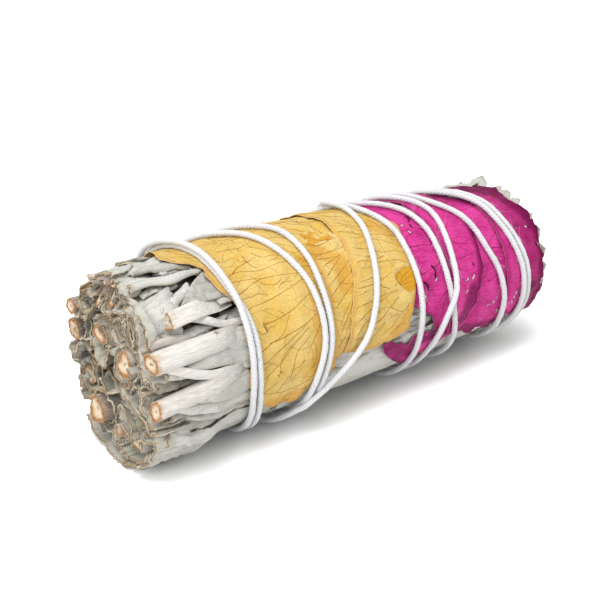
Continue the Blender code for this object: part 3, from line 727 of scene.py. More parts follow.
def held_down(distance, x):
    """Distances from the axis, softly kept under what wraps the bundle: the string and petals
    hold leaves in, and near the cut end they stand out a little."""
    top = CUT_RADIUS - 0.35 + 0.9 * (1 - smooth_step(-44.0, -38.0, x))
    over = distance - top
    return top + np.where(over > 6, 0, over - np.log1p(np.exp(5 * np.minimum(over, 6))) / 5)


def on_bundle(x, angle, distance):
    """A place whose distance from the axis is told as if the bundle were thick as its cut."""
    radius = distance / CUT_RADIUS * sage_radius(x, angle)
    return place(np.maximum(x, NEAREST_X), angle, radius, FLOOR_GAP)


def traced_leaf(upper, lower, depth, rise, seed, knife=True, crumple=0.28, tint=None):
    """A leaf between two edges that hold places x, angle, x, angle on the bundle.

    The surface is the straight mix of the two edges, raised by rise in its middle and crumpled
    by smooth noise. depth is how far below the surface its two edges lie, and a deep leaf is
    pleated too. knife tells whether the knife cut its front end."""
    rng = np.random.default_rng(seed)
    share = np.linspace(0, 1, TRACED_ROWS) ** (1.25 if knife else 1.0)
    upper, lower = (np.reshape(edge, (-1, 2)) for edge in (upper, lower))
    first, second = (rounded(points_at(edge, share * (len(edge) - 1))) for edge in (upper, lower))
    apart = (second - first) * (1, np.radians(MIDDLE_RADIUS))
    span = np.hypot(*apart.T)
    v = 0.5 - 0.5 * np.cos(np.linspace(0, np.pi, int(8 + 1.6 * span.max())))
    x, angle = (a[:, None] * (1 - v) + b[:, None] * v for a, b in zip(first.T, second.T))
    round_mm = np.radians(angle) * MIDDLE_RADIUS
    v = v + 0 * x
    arch = np.sqrt(np.maximum(1 - (2 * v - 1) ** 2, 0))
    deep = depth[0] + (depth[1] - depth[0]) * v
    hills = waver(seed, 4.5, x, round_mm) + 0.35 * waver(seed + 1, 1.6, x, round_mm)
    pleats = 0.3 * np.sin(2 * np.pi * v * span.mean() / 2.6 + 0.25 * x + rng.uniform(0, 6.3))
    out = CUT_RADIUS - deep + (rise + pleats * (deep.mean() > PLEATED_BELOW)) * arch
    out = held_down(out + crumple * hills, x)
    cut = share[:, None] * np.ptp(x) + 0 * x if knife else FAR
    if knife:
        x = x + (1 - share[:, None]) ** 3 * 0.45 * waver(seed + 2, 2.0, round_mm)
    side = np.minimum(v, 1 - v) * span[:, None]
    thickness = thinned(LEAF_THICKNESS * 1.2, side, least=0.45)
    tint = rng.uniform(0.45, 1) if tint is None else tint
    way = slice(None, None, -1 if np.mean(np.diff(angle, axis=1)) > 0 else 1)
    points = on_bundle(x, angle, out)
    return blade(points[:, way], thickness[:, way], cut=cut, edge=side[:, way], tint=tint)


print("a leaf pushed 1 mm out stays", round(float(held_down(CUT_RADIUS + 1, 0.0)), 2), "mm out")

# %% [markdown]
# ## Leaves laid along the bundle
# The leaves that the photograph doesn't show lie along the outside at random places. Across, a
# leaf is a bent strip: its place is the running sum of its direction, so it keeps its width
# however much it curls.

# %% Leaves along the bundle
LAID_ROWS, LAID_TIP = 22, 0.75
LAID_WAVE, LAID_CRUMPLE = 0.2, 0.18


def bent(lean, s, half):
    """A leaf's section as running sums of its direction, counted from its middle."""
    step = np.gradient(s, axis=1) * half
    middle = s.shape[1] // 2
    sums = (np.cumsum(part(lean) * step, axis=1) for part in (np.cos, np.sin))
    return [total - total[:, middle:middle + 1] for total in sums]


def laid_leaf(line, width, roll, curl, seed, cut_end, slant, fold):
    """A leaf laid along the outside of the bundle, narrowing to its far end.

    line holds (x, angle, depth below the surface) for its middle. Across, the leaf turns from
    lying flat by roll, bends by curl from one edge to the other and by fold at its midrib.
    slant is how far the knife's cut leans, where the leaf begins at the cut end."""
    rng = np.random.default_rng(seed)
    phase = rng.uniform(0, 2 * np.pi, 4)
    xs, angles, depths = np.array(line, float).T
    share = np.linspace(0, 1, LAID_ROWS) ** (1.3 if cut_end else 1.0)
    u, s = grid(share, np.linspace(-1, 1, int(6 + 1.2 * width) // 2 * 2 + 1))
    x = xs[0] + (xs[-1] - xs[0]) * u
    angle, depth = np.interp(x, xs, angles), np.interp(x, xs, depths)
    narrow = 1 - LAID_TIP * u**3 - 0.12 * (1 - u) * LAID_TIP
    half = width / 2 * np.maximum(narrow, 0.05) * (1 + 0.06 * np.sin(x / 1.9 + phase[0]))
    lean = (roll + curl * s / 2 + fold / 2 * np.tanh(s / 0.12)
            + 0.3 * np.sin(x / 3.7 + phase[1]) * s + 0.25 * np.sin(x / 5.3 + 2.2 * s + phase[2]))
    across, out = bent(lean, s, half)
    out = out + LAID_WAVE * s**2 * np.sin(x / 1.6 + phase[3] + 1.5 * np.sign(s))
    out = out + LAID_CRUMPLE * waver(seed, 3.8, x, across)
    distance = held_down(CUT_RADIUS - 0.3 - depth + out, x)
    turn = angle + np.degrees(across / CUT_RADIUS)
    if cut_end:
        x = x + (1 - u) * set_back(turn, CUT_RADIUS)
        x = x + (1 - u) ** 2 * (0.35 * waver(seed, 2.2, across, out) + slant * s)
    side = (1 - np.abs(s)) * half
    cut = (xs[-1] - xs[0]) * u if cut_end else FAR
    points, thickness = on_bundle(x, turn, distance), thinned(LEAF_THICKNESS, side)
    return blade(points[:, ::-1], thickness[:, ::-1], cut=cut, edge=side, tint=rng.uniform(0.2, 1))


example = laid_leaf([(0, 0, 1), (25, 0, 1)], 8.0, 0.0, 0.5, 1, False, 0.0, 0.0)
print("squares in a laid leaf:", len(example["quads"]))

# %% [markdown]
# ## Leaf tips
# At the far end the leaves come to soft points. The outer ones stand free of the petals and
# their halves curl up from the midrib. The inner ones are plain arcs with a rounded point,
# because only their ends are seen, in the hollow between the others.

# %% Leaf tips
TIP_RIM = 0.9
INNER_START, INNER_END = 33.0, 42.5


def leaf_tip(middle, start, end, width, depth, curl, seed):
    """A leaf's pointed end beyond the petals: its two halves curl up from the midrib."""
    rng = np.random.default_rng(seed)
    phase = rng.uniform(0, 2 * np.pi, 3)
    u, s = grid(np.linspace(0, 1, 17), np.linspace(-1, 1, 11))
    half = width / 2 * np.sqrt(np.maximum(1 - u**3, 0.01))
    across, out = bent(curl * s + 0.35 * np.sin(3 * u + phase[0]), s, half)
    x = start + (end - start) * u - 0.8 * s**2 * u + 0.3 * np.sin(2.5 * s + phase[1])
    sag = np.interp(u, [0, 0.5, 1], depth)
    distance = CUT_RADIUS - sag + out + 0.22 * waver(seed, 2.6, x, across)
    turn = middle + np.degrees(across / np.maximum(distance, 4.0))
    radius = distance / CUT_RADIUS * outline(x, turn)
    points = place(np.minimum(x, TIP_X - TIP_RIM), turn, radius, FLOOR_GAP)
    side = np.minimum((1 - np.abs(s)) * half, (1 - u) * 6)
    thickness = thinned(LEAF_THICKNESS, side, least=0.55)
    return blade(points[:, ::-1], thickness[:, ::-1], edge=side[:, ::-1], tint=rng.uniform(0.5, 1))


def inner_tip(number, share, middle, span, length, seed):
    """The end of a leaf inside the bundle: an arc round the stem with a rounded point."""
    rng = np.random.default_rng(seed)
    u, v = grid(np.linspace(0, 1, 8), np.linspace(-1, 1, 9))
    turn = middle + span / 2 * v * (1 - 0.45 * u**2)
    limit, _ = reach(number, turn)
    radius = (limit - 0.3) * np.clip(share - 0.22 * u**2 + 0.08 * np.sin(3 * v + seed), 0.05, 0.97)
    y, z = round_stem(number, radius, turn)
    end = INNER_END + length * (1 - np.abs(v) ** 2.4) + 0.3 * np.sin(7 * v + seed)
    x = INNER_START + (end - INNER_START) * u
    side = np.minimum(end - x, (1 - np.abs(v)) * 3.0)
    thickness = thinned(LEAF_THICKNESS, side)
    return blade(from_face(x, y, z), thickness, edge=side + 0.2, tint=rng.uniform(0.4, 1))


print("inner leaves start at", INNER_START, "and end past", INNER_END)

# %% [markdown]
# ## Stems and stalks
# A stem is woody: a slightly squared rod, cut across by the knife, whose end shows rings. Leaf
# stalks are thinner flattened rods that lie on the outside, where the photograph shows them.

# %% Stems and stalks
CUT_SIZES = [0.16, 0.36, 0.58, 0.76, 0.88, 0.97]
CUT_SUNK = [0.25, 0.12, 0.0, 0.1, -0.04, 0.0]


def stem(number, seed, bark):
    """The woody stem: a slightly squared rod whose rings close in to a pith at the cut."""
    rng = np.random.default_rng(seed)
    y0, z0, radius = STEMS[number]
    start = cut_plane(y0) + STEM_CUT[number]
    deep = [0.0, 0.1, 0.6, 1.6, 3.2, 5.5, 8.5, 12]
    x = np.concatenate([np.full(6, start), start + np.array(deep), [-33.0]])
    size = np.concatenate([CUT_SIZES, np.ones(8), [0.9]])
    sunk = np.concatenate([CUT_SUNK, np.zeros(9)])
    y0, z0 = y0 + STEM_MOVE[number][0], z0 + STEM_MOVE[number][1]
    drift = np.radians(STEM_DRIFT[number]) * np.clip((x - start) / 17.0, 0, 1.2)
    y = y0 * np.cos(drift) - z0 * np.sin(drift)
    z = z0 * np.cos(drift) + y0 * np.sin(drift)
    turn = np.linspace(0, 2 * np.pi, 32, endpoint=False)[None, :]
    phase = rng.uniform(0, 2 * np.pi, 4)
    shape = (1 + 0.06 * np.cos(4 * turn + phase[0]) + 0.06 * np.sin(2 * turn + phase[1])
             + 0.035 * np.sin(9 * turn + phase[2]) + 0.03 * np.sin(5 * turn + phase[3]))
    bend = 1 + 0.04 * np.sin(x / 2.7 + phase[1])
    wide = (radius * size * bend)[:, None] * shape
    y = y[:, None] + wide * np.cos(turn) * OVAL[number]
    z = z[:, None] + wide * np.sin(turn) / OVAL[number]
    most = CUT_RADIUS + 0.5 - 1.6 * smooth_step(-43.5, -37.5, x)[:, None]
    scale = np.minimum(1.0, most / np.hypot(y, z))
    rough = 0.10 * waver(seed, 0.9, y, z) * (x <= start + 0.01)[:, None]
    lean = 0.12 * size[:, None] * np.cos(turn + phase[0])
    rings = from_face((x + sunk)[:, None] + lean + rough, y * scale, z * scale)
    ring = np.concatenate([CUT_SIZES, [1.0], np.full(8, OUTSIDE)])
    return pipe(rings[:, ::-1], ring=ring, cut=np.maximum(x - start, 0), tint=bark, slot=1)


def stalk(line, radius, wide, seed, cut_end=False):
    """A leaf's stalk on the outside of the bundle: a flattened rod along (x, angle, depth)."""
    x, angle, depth = rounded(points_at(np.array(line), np.linspace(0, len(line) - 1, 30))).T
    far = CUT_RADIUS - depth + 0.15 * np.sin(x / 2.3 + seed)
    path = place(x, angle, held_down(far, x) / CUT_RADIUS * sage_radius(x, angle) - radius,
                 lowest=radius)
    ends = [1.0, 1.0] if cut_end else [0.45, 0.85]
    size = radius * np.concatenate([ends, np.ones(26), [0.9, 0.6]]) * (1 + 0.05 * np.sin(x + seed))
    rings = round_path(path, size, 14, wide=wide, lobes=0.06)
    ring = np.concatenate([[0.95], np.full(29, OUTSIDE)]) if cut_end else OUTSIDE
    cut = np.linalg.norm(path - path[0], axis=1) if cut_end else FAR
    return pipe(rings, ring=ring, cut=cut, tint=0.5 if cut_end else 0.9, slot=1)


print("squares in a stem:", len(stem(4, 1, 0.9)["quads"]))

# %% [markdown]
# ## The imported inside
# Behind the leaves that were made one by one, a sprig is a dense pack of them. One rod fills
# its share of the bundle and has their folds as ridges, so no gap shows daylight. Its grey is
# darker than most leaves, as painted shade.

# %% The imported inside
def core(number, seed):
    """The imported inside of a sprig: its share of the bundle with the folds of leaves in it."""
    rng = np.random.default_rng(seed)
    phase = rng.uniform(0, 2 * np.pi, 3)
    start = cut_plane(STEMS[number, 0]) + 1.7
    x = np.concatenate([np.full(6, start), np.linspace(start + 0.8, 42.0, 26)])
    size = np.concatenate([[0.12, 0.3, 0.5, 0.68, 0.84, 1.0], np.ones(26)])[:, None]
    x, turn = grid(x, np.linspace(0, 2 * np.pi, 48, endpoint=False))
    limit, rim = reach(number, turn)
    folds = 0.5 + 0.5 * np.sin(11 * turn + 1.2 * np.sin(x / 9.0 + phase[0]) + phase[1])
    folds = np.maximum(folds, 0.5 + 0.5 * np.sin(17 * turn - 0.05 * x + phase[2])) * 0.8
    low = 3.0 * (1 - smooth_step(-40.0, -32.0, x)) + 1.0 * folds + 0.9
    radius = np.maximum(limit - 0.2 - rim * low - 1.2 * smooth_step(36, 42, x), 1.2) * size
    y, z = under_flank(*round_stem(number, radius, turn), 14.2)
    x = x + (x < start + 0.1) * (0.9 * waver(seed, 2.4, y, z) + 0.5 * waver(seed + 1, 1.0, y, z))
    cut = np.where(x[:, 0] < start + 2, 0.45, FAR)
    # Its tint of 0.35 is a darker grey than most leaves: painted shade for the inside of the pack.
    return pipe(from_face(x, y, z)[:, ::-1], cut=cut, tint=0.35)


print("squares in a sprig's inside:", len(core(4, 1)["quads"]))

# %% [markdown]
# ## Where the leaves go
# The leaves on the side that the photograph shows are placed one by one, by sprig: the two edges
# of each as x, angle, x, angle and so on, how deep they lie and how much the leaf bulges. A
# negative tint paints the leaves behind them dark, as painted shade. All the others are drawn at
# random.

# %% Leaves placed one by one
TRACED_LEAVES = {
    8: [dict(upper=[-52.5, -6, -50.4, -4, -47.9, -3, -45.9, -1], lower=[-52.9, 12, -51.6, 13,
        -49.8, 12, -47.6, 5], depth=(0.3, 0), rise=0.5),
        dict(upper=[-48.4, -9, -43.2, -9, -38, -10, -33, -12], lower=[-51.3, 13, -48.2, 13,
        -44, 10, -36, 9], depth=(0.9, 0.9), rise=0.5, knife=False),
        dict(upper=[-53.2, 12, -52.2, 15, -50.8, 16, -48.9, 17], lower=[-53.3, 22, -53, 28,
        -51.8, 29, -50, 27], depth=(1.6, 1.6), rise=1.2),
        dict(upper=[-52.4, 24, -50.6, 21, -48.3, 22, -45.1, 25, -42, 25, -35.1, 17],
        lower=[-52.9, 30, -51, 28, -48.6, 27, -45.8, 31, -42.9, 31, -35.8, 22], depth=(0.4, 0.3),
        rise=0.6, crumple=0.10),
        dict(upper=[-50.2, 14, -47.4, 10, -45, 8, -42.5, 10, -37, 12], lower=[-49.8, 17, -47.1, 15,
        -45.2, 18, -42.6, 20, -38, 19], depth=(0.9, 0.7), rise=0.7, crumple=0.10, knife=False),
        dict(upper=[-45, 14, -40, 6, -34, 4], lower=[-44.5, 21, -41, 22, -34, 19],
        depth=(1.6, 1.5), rise=0.5, knife=False)],
    9: [dict(upper=[-54.1, 29, -53.6, 31, -53, 34], lower=[-54.1, 63, -53, 60, -51.7, 56],
        depth=(0.5, 1), rise=0.9, crumple=0.08, tint=0.85),
        dict(upper=[-53, 20, -51.8, 21, -47, 23], lower=[-53, 23, -51.6, 33, -47, 35],
        depth=(3.2, 3.2), rise=0.2, tint=-0.3),
        dict(upper=[-50.3, 28, -48.3, 25, -46.6, 24, -45.6, 25, -43, 26], lower=[-50.3, 32,
        -48.7, 31, -46.8, 32, -45.3, 33, -43.3, 31], depth=(1.7, 1.4), rise=0.3, knife=False,
        crumple=0.3)],
    0: [dict(upper=[-49.4, 40, -46.6, 38, -43.6, 34, -41.6, 31], lower=[-49.4, 46, -46.6, 45,
        -44.3, 41, -42.1, 38], depth=(0.9, 0.5), rise=0.6, knife=False, crumple=0.3),
        dict(upper=[-42.5, 37, -38.6, 28, -35.6, 22, -33, 24], lower=[-45.4, 44, -42.4, 46,
        -38.6, 44, -33, 43], depth=(0.8, 0.4), rise=0.5, knife=False),
        dict(upper=[-50, 32, -44, 30, -38, 22, -33, 20], lower=[-50, 46, -44, 46, -38, 45,
        -33, 44], depth=(2.8, 2.6), rise=0.3, knife=False, tint=0.2),
        dict(upper=[-50.5, 56, -46, 56, -41.1, 55, -35, 53], lower=[-49.6, 61, -45.7, 62,
        -43.1, 61, -37, 58], depth=(2.3, 1.5), rise=0.5),
        dict(upper=[-46, 50, -40, 50, -33, 48], lower=[-46, 66, -40, 66, -33, 64], depth=(3.2, 3),
        rise=0.2, knife=False, tint=-0.3)],
    1: [dict(upper=[-41, 62, -37.5, 63, -34.5, 63, -31, 64], lower=[-40.2, 71, -37.9, 73,
        -36.6, 77, -31.5, 77], depth=(0.5, 0.6), rise=0.35, crumple=0.12, tint=0.85),
        dict(upper=[-47.5, 76, -43.3, 72, -39, 71, -36, 72, -31.4, 73], lower=[-46.5, 80,
        -42.9, 80, -38.6, 82, -35.3, 85, -31.5, 88], depth=(1.3, 0.7), rise=0.4, knife=False,
        crumple=0.12, tint=0.7),
        dict(upper=[-52.8, 74, -50.4, 76, -47.5, 79], lower=[-51.9, 80, -50.1, 81, -47.5, 82],
        depth=(1.4, 0.9), rise=0.4),
        dict(upper=[-48, 74, -40, 76, -33, 80], lower=[-48, 90, -40, 90, -33, 92],
        depth=(2.8, 2.7), rise=0.2, knife=False, tint=-0.3)],
    2: [dict(upper=[-53.3, 81, -50.7, 82, -47.4, 83, -42.2, 86], lower=[-53, 88, -50.8, 87,
        -46.6, 87, -42.3, 89], depth=(2.3, 1.9), rise=0.2, tint=-0.35),
        dict(upper=[-50.6, 95, -47.6, 92, -45.5, 89, -41.3, 86], lower=[-50.3, 97, -46.9, 94.5,
        -44.8, 92, -41.3, 88], depth=(0.6, 0.5), rise=0.3, knife=False, crumple=0.05, tint=0.6),
        dict(upper=[-48.2, 93, -45.9, 91, -43.7, 89, -41.2, 87, -37.2, 88, -34, 90],
        lower=[-47.6, 95, -45, 98, -42, 99, -37.8, 105, -35, 105, -32, 101], depth=(0.9, 0.2),
        rise=0.5, knife=False, crumple=0.10, tint=0.75),
        dict(upper=[-52, 94, -49.6, 95, -45.8, 98, -42, 99, -37.6, 105, -31.5, 104],
        lower=[-52, 97, -49.6, 100, -46, 104, -41.6, 107, -36.6, 112, -31.5, 111],
        depth=(0.8, 0.3), rise=0.5, crumple=0.12, tint=0.95),
        dict(upper=[-51.8, 99, -48.9, 102, -44.5, 106, -41.3, 108, -35.8, 112, -31.5, 112],
        lower=[-51.8, 104, -49.7, 105, -45.2, 110, -39.7, 116, -35.4, 120, -31.5, 118],
        depth=(1.6, 0.9), rise=0.4, tint=0.6),
        dict(upper=[-49, 88, -40, 84, -33, 88], lower=[-49, 104, -40, 106, -33, 108],
        depth=(2.9, 2.8), rise=0.2, knife=False, tint=-0.3)],
    13: [dict(upper=[-52.4, 105, -49.7, 107, -47.8, 107, -44.6, 109, -38.5, 114, -31.6, 119],
        lower=[-51, 115, -47.2, 118, -43.9, 124, -41.2, 125, -38, 121, -31.5, 128], depth=(1.5, 1),
        rise=-0.3, tint=0.7),
        dict(upper=[-51.9, 112, -48.2, 115, -44.9, 121, -42.5, 117, -36.6, 119, -31.3, 120],
        lower=[-51.8, 122, -47.6, 126, -42.4, 130, -38.3, 132, -34, 134, -29.9, 134],
        depth=(0.6, 0.4), rise=0.6, tint=0.9),
        dict(upper=[-52.6, 121, -47, 124, -40, 128, -31, 130], lower=[-53.4, 134, -47, 136,
        -40, 138, -31, 138], depth=(1.5, 0.6), rise=0.4),
        dict(upper=[-50, 104, -40, 106, -31, 108], lower=[-50, 128, -40, 128, -31, 130],
        depth=(2.9, 2.8), rise=0.2, knife=False, tint=-0.3)],
    6: [dict(upper=[-20, 121, -10, 112, 0, 106, 10, 102, 18, 106], lower=[-20, 131, -10, 130,
        0, 127, 10, 126, 18, 128], depth=(0.6, 0.3), rise=0.6, knife=False, tint=1.1),
        dict(upper=[-24, 128, -12, 128, 2, 125, 14, 124, 28, 124], lower=[-24, 140, -12, 142,
        2, 141, 14, 138, 28, 138], depth=(0.5, 0.6), rise=0.5, knife=False, tint=0.8),
        dict(upper=[14, 116, 24, 117, 34, 120, 46, 124], lower=[14, 131, 24, 134, 34, 138,
        46, 138], depth=(0.9, 0.5), rise=0.5, knife=False, tint=0.95),
        dict(upper=[-53.6, 132, -47, 134, -40, 136, -31, 136], lower=[-53.9, 150, -47, 150,
        -40, 150, -31, 150], depth=(0.8, 0.6), rise=0.5),
        dict(upper=[-52.9, 148, -47, 148, -40, 148, -31, 148], lower=[-53.2, 168, -47, 166,
        -40, 166, -31, 165], depth=(1.2, 0.8), rise=0.4)],
}


print("leaves placed on the flank:", sum(len(found) for found in TRACED_LEAVES.values()))

# %% [markdown]
# ## Stalks and the cut end's clearest leaves
# The stalks are lines of (x, angle, depth). The folded leaves at the cut end are lines of y, z,
# y, z and so on from the bundle's axis, as the knife shows them, and the rolled ones circles.

# %% Stalks, folded and rolled leaves placed one by one
TRACED_STALKS = {
    0: [dict(line=[(-44.6, 50, 0.9), (-41.7, 54, 0.3), (-39, 58, 0), (-36, 60, 0),
        (-30.5, 60, 0.5)], radius=0.62, wide=1.2)],
    1: [dict(line=[(-53.7, 71, 1.2), (-51, 74, 0.4), (-48.5, 78, 0), (-44.6, 83, -0.2),
        (-40.9, 85, -0.1), (-36.5, 85.5, 0.2), (-30.5, 88, 0.8)], radius=0.5, wide=1.75),
        dict(line=[(-53.8, 61, 0.8), (-52.9, 59, 0.6), (-50.4, 59.5, 0.6), (-46.7, 61, 0.8),
        (-43.8, 60.5, 1), (-40, 58, 1.6)], radius=0.62, wide=1.25, cut_end=True)],
    8: [dict(line=[(-52.6, -8, 0.5), (-50.7, -4, 0.6), (-47, -2, 1.2)], radius=0.55, wide=1,
        cut_end=True), dict(line=[(-52.7, 3, 0.8), (-51, 4, 0.9), (-47, 4, 1.4)], radius=0.55,
        wide=1, cut_end=True), dict(line=[(-52.4, 11, 1), (-51, 10, 1.1), (-47, 9, 1.5)],
        radius=0.8, wide=1, cut_end=True)],
    7: [dict(line=[(-52.3, -20, 0.6), (-50.5, -17, 0.7), (-46, -14, 1.1)], radius=0.55, wide=1,
        cut_end=True)],
}
FOLDED = {
    9: [dict(line=[1.6, 9.2, -1.7, 10.6, -5.5, 11.9, -8.5, 12.5, -10.6, 12.2, -11.4, 10.9,
        -11.5, 8.9, -11.8, 6.9, -12.4, 5, -12.8, 3.1, -13.5, 1.5], cut=-0.6, length=8, spread=0.03,
        tint=1, waves=0.1), dict(line=[-1.8, 8.7, -2.8, 9.7, -5.9, 10.9, -8.9, 11.4, -9.9, 10.2,
        -10.2, 8.1, -10.4, 6.5], cut=-0.2, length=6, waves=0.15)],
    5: [dict(line=[8.1, -8.7, 3.8, -6.4, -1, -4.3, -4.8, -2.9, -6.6, -2.9, -7, -4.4, -8.8, -4.8,
        -9.2, -6.2], cut=-0.7, length=6)],
    2: [dict(line=[-9.9, -0.2, -11.2, -1, -11.9, -2.1, -11.5, -3.6, -13.5, -4.6, -15.6, -5.3,
        -17, -5], cut=-0.4, length=7), dict(line=[-14.5, 0.5, -12.9, -1, -13.1, -2.2], cut=-0.3,
        length=6)],
    6: [dict(line=[11.6, -14, 8.5, -15.9, 5.1, -17, 2.6, -17.6, 0.1, -18, -2.4, -17.9,
        -5.6, -17.4], cut=-0.9, length=9, waves=0.15), dict(line=[4.2, -14.2, 2, -14.8, 0.6, -16.2,
        -1.9, -16.9, -5.1, -15.7, -7.1, -15.6, -9.6, -14.9, -11.9, -13.4, -13.8, -11.2], cut=0.2,
        length=9)],
    13: [dict(line=[-10.4, -12.4, -10.8, -10.6, -12.6, -9.4, -14.7, -9.3, -15.4, -10, -16.2, -8.6,
        -15.6, -6.6, -17.3, -6], cut=0.1, length=7), dict(line=[-8.4, -8, -10, -6.6, -12, -6.9,
        -13.4, -8.3], cut=0.6, length=6)],
    12: [dict(line=[17.5, -5.7, 16, -4.6, 13.6, -4.9, 15.1, -7.3, 14, -9.2, 14.9, -10.6,
        13.6, -11.9], cut=0, length=7)],
    10: [dict(line=[18, -3.4, 16.8, -2.7, 14.2, -2.2, 11.6, -1], cut=-0.8, length=8),
        dict(line=[17.4, 1.9, 15.4, 0.4, 14, -0.6, 11.3, 0.3, 8.4, 1.9], cut=0.2, length=6)],
    4: [dict(line=[-1.1, -3.4, -3.6, -2.7, -6.3, -1.6, -7.6, -0.6, -9.2, -0.9], cut=0.2, length=6),
        dict(line=[2.1, 5.5, 0.3, 4.5, 1.2, 2.5, -1.2, 2.3, -0.7, 0.4], cut=0.3, length=6)],
    1: [dict(line=[-11.4, 3.3, -13, 2.4, -15.3, 2.4, -16.4, 1.2], cut=-0.2, length=6)],
}
ROLLED = {
    8: [dict(centre=(2.6, 10.8), radius=1.15, turns=1.15, start=1, cut=0.2, length=8)],
    9: [dict(centre=(-3.6, 11.2), radius=0.8, turns=1.2, start=3, cut=0.6, length=7),
        dict(centre=(-6, 12.3), radius=1, turns=1.1, start=0.5, cut=0.3, length=7)],
    11: [dict(centre=(9.2, 11.6), radius=1.3, turns=1.2, start=2, cut=-0.9, length=9),
        dict(centre=(13.8, 6), radius=1.2, turns=1.1, start=2.4, cut=-0.6, length=9)],
    10: [dict(centre=(15.6, -1.9), radius=1.2, turns=0.8, start=2, cut=-1, length=9)],
    6: [dict(centre=(-1.9, -12), radius=1.35, turns=0.62, start=2.2, cut=-0.3, length=7,
        thickness=0.75, tint=0.75, slot=1)],
    12: [dict(centre=(9, -9), radius=1.2, turns=1.2, start=4, cut=-0.4, length=8)],
    13: [dict(centre=(-8, -5.2), radius=0.9, turns=1.2, start=4, cut=0.5, length=7)],
}
at_cut = [*FOLDED.values(), *ROLLED.values()]
print("leaves placed at the cut:", sum(len(found) for found in at_cut))

# %% [markdown]
# ## Leaves drawn at random
# Round each stem the knife shows four layers of pleated leaves. Along the outside, leaves lie
# one behind the other, but not at the cut where the photograph's own leaves are. The tips lie
# deeper where they are seen, so that the tip end keeps its round outline.

# %% Random leaves
SHOWN_SPRIGS = {0: 1.2, 1: 1.4, 2: 1.4, 13: 2.1, 6: 2.4, 8: 2.4}
SHOWN_SIDE = (-8.0, 165.0)
LAYERS = (0.10, 0.36, 0.64, 0.93)
PLEATED = {4: (9, 0.13), 5: (10, 0.12), 6: (8, 0.13), 3: (8, 0.09), 13: (9, 0.12), 9: (7, 0.08)}
LEAF_STARTS = (-52.5, -38, -26, -13, 0, 12, 24)
LEAVES_END = 47.5


def new_seed(rng):
    """A seed for one leaf, drawn from its sprig's own numbers."""
    return int(rng.integers(1e6))


def leaves_at_cut(number, rng, outward):
    """The nested pleated leaves that the knife shows round one stem."""
    count, height = PLEATED.get(number, (rng.uniform(4, 8), 0.07))
    phase = rng.uniform(0, 2 * np.pi)
    found = []
    for layer, share in enumerate(LAYERS):
        reachable = SHOWN_SPRIGS.get(number, 3.3)
        at = outward + np.pi - reachable + rng.uniform(-0.4, 0.4)
        while at < outward + np.pi + reachable - 0.5:
            span = rng.uniform(1.4, 3.2)
            found.append(packed_leaf(
                number, share, (at, min(at + span, outward + np.pi + reachable)),
                (count, phase + 0.35 * layer), height * rng.uniform(0.6, 1.3),
                rng.uniform(-0.4, 2.0), new_seed(rng), rng.uniform(4.0, 8.0)))
            at += span + rng.uniform(-0.25, 0.5)
    return found


def outer_leaves(rng, angle):
    """Two rows of leaves along the outside of one sprig, each overlapping the next."""
    found = []
    for start in LEAF_STARTS:
        for side in (-9, 8):
            middle = angle + side + rng.uniform(-4, 4)
            at_cut = start < -50
            if at_cut and SHOWN_SIDE[0] < from_top(middle) < SHOWN_SIDE[1]:
                continue
            first = start + rng.uniform(-1.4, 1.5) + 1
            if at_cut:
                first = cut_plane(-CUT_RADIUS * math.sin(math.radians(middle)))
                first += rng.uniform(-0.4, 1.8)
            last = min(first + rng.uniform(22, 30), LEAVES_END)
            depth = rng.uniform(0.15, 1.5)
            line = [(first, middle, depth + 0.7 * (not at_cut)),
                    ((first + last) / 2, middle + rng.uniform(-4, 4), depth),
                    (last, middle + rng.uniform(-6, 6), depth + 0.6)]
            found.append(laid_leaf(
                line, rng.uniform(6.0, 9.5), rng.uniform(-0.25, 0.25), rng.uniform(-0.9, 0.9),
                new_seed(rng), at_cut, rng.uniform(-1.0, 1.0), rng.choice([0, 0, 0.7, -0.7])))
    return found


def outer_tips(rng, angle):
    """The pointed ends of five leaves beyond the petals."""
    found = []
    for _ in range(5):
        middle = angle + rng.uniform(-16, 16)
        covered = smooth_step(-80, -50, from_top(middle)) * (middle < 135)
        depth = rng.uniform(0.0, 2.0) * (1 - covered) + covered * rng.uniform(2.6, 3.6)
        found.append(leaf_tip(
            middle, rng.uniform(36, 40), rng.uniform(48.0, 50.9), rng.uniform(4, 7.5),
            (1.2 + covered, depth, depth + rng.uniform(covered - 0.8, 2.0)),
            rng.uniform(-1.3, 1.3), new_seed(rng)))
    return found


print("leaves along the outside of a sprig:", 2 * len(LEAF_STARTS), "and tips: 5")

# %% [markdown]
# ## Making the sprigs
# All the parts of a sprig become one object with two finishes. The order of the lists below is
# the order of the random draws, so a change in one sprig leaves the other thirteen as they are.

# %% Make the sprigs
PLACED_TIPS = {
    8: [(-34, 43, 5.0, (1.5, 0.2, -0.6)), (-13, 44, 7.5, (2.6, 1.9, -1.4)),
        (4, 45, 5.0, (2.8, 2.2, 0.2)), (15, 45, 4.5, (2.8, 2.3, 0.4)),
        (26, 45, 4.0, (2.8, 2.3, 0.6))],
    0: [(42, 45, 5.0, (2.8, 2.3, 0.5))],
    1: [(58, 45, 6.5, (2.8, 2.3, 0.3)), (73, 45, 5.5, (2.8, 2.3, 0.3))],
    2: [(88, 45, 5.0, (2.8, 2.3, 0.4))],
}
PLACED_TIP_END = 50.8
BARK = {5: 0.1, 11: 0.2, 10: 0.4, 12: 0.3, 7: 0.5, 2: 0.7}
PLACED_BY_HAND = ((TRACED_LEAVES, traced_leaf), (TRACED_STALKS, stalk), (ROLLED, rolled_leaf),
                  (FOLDED, folded_leaf))


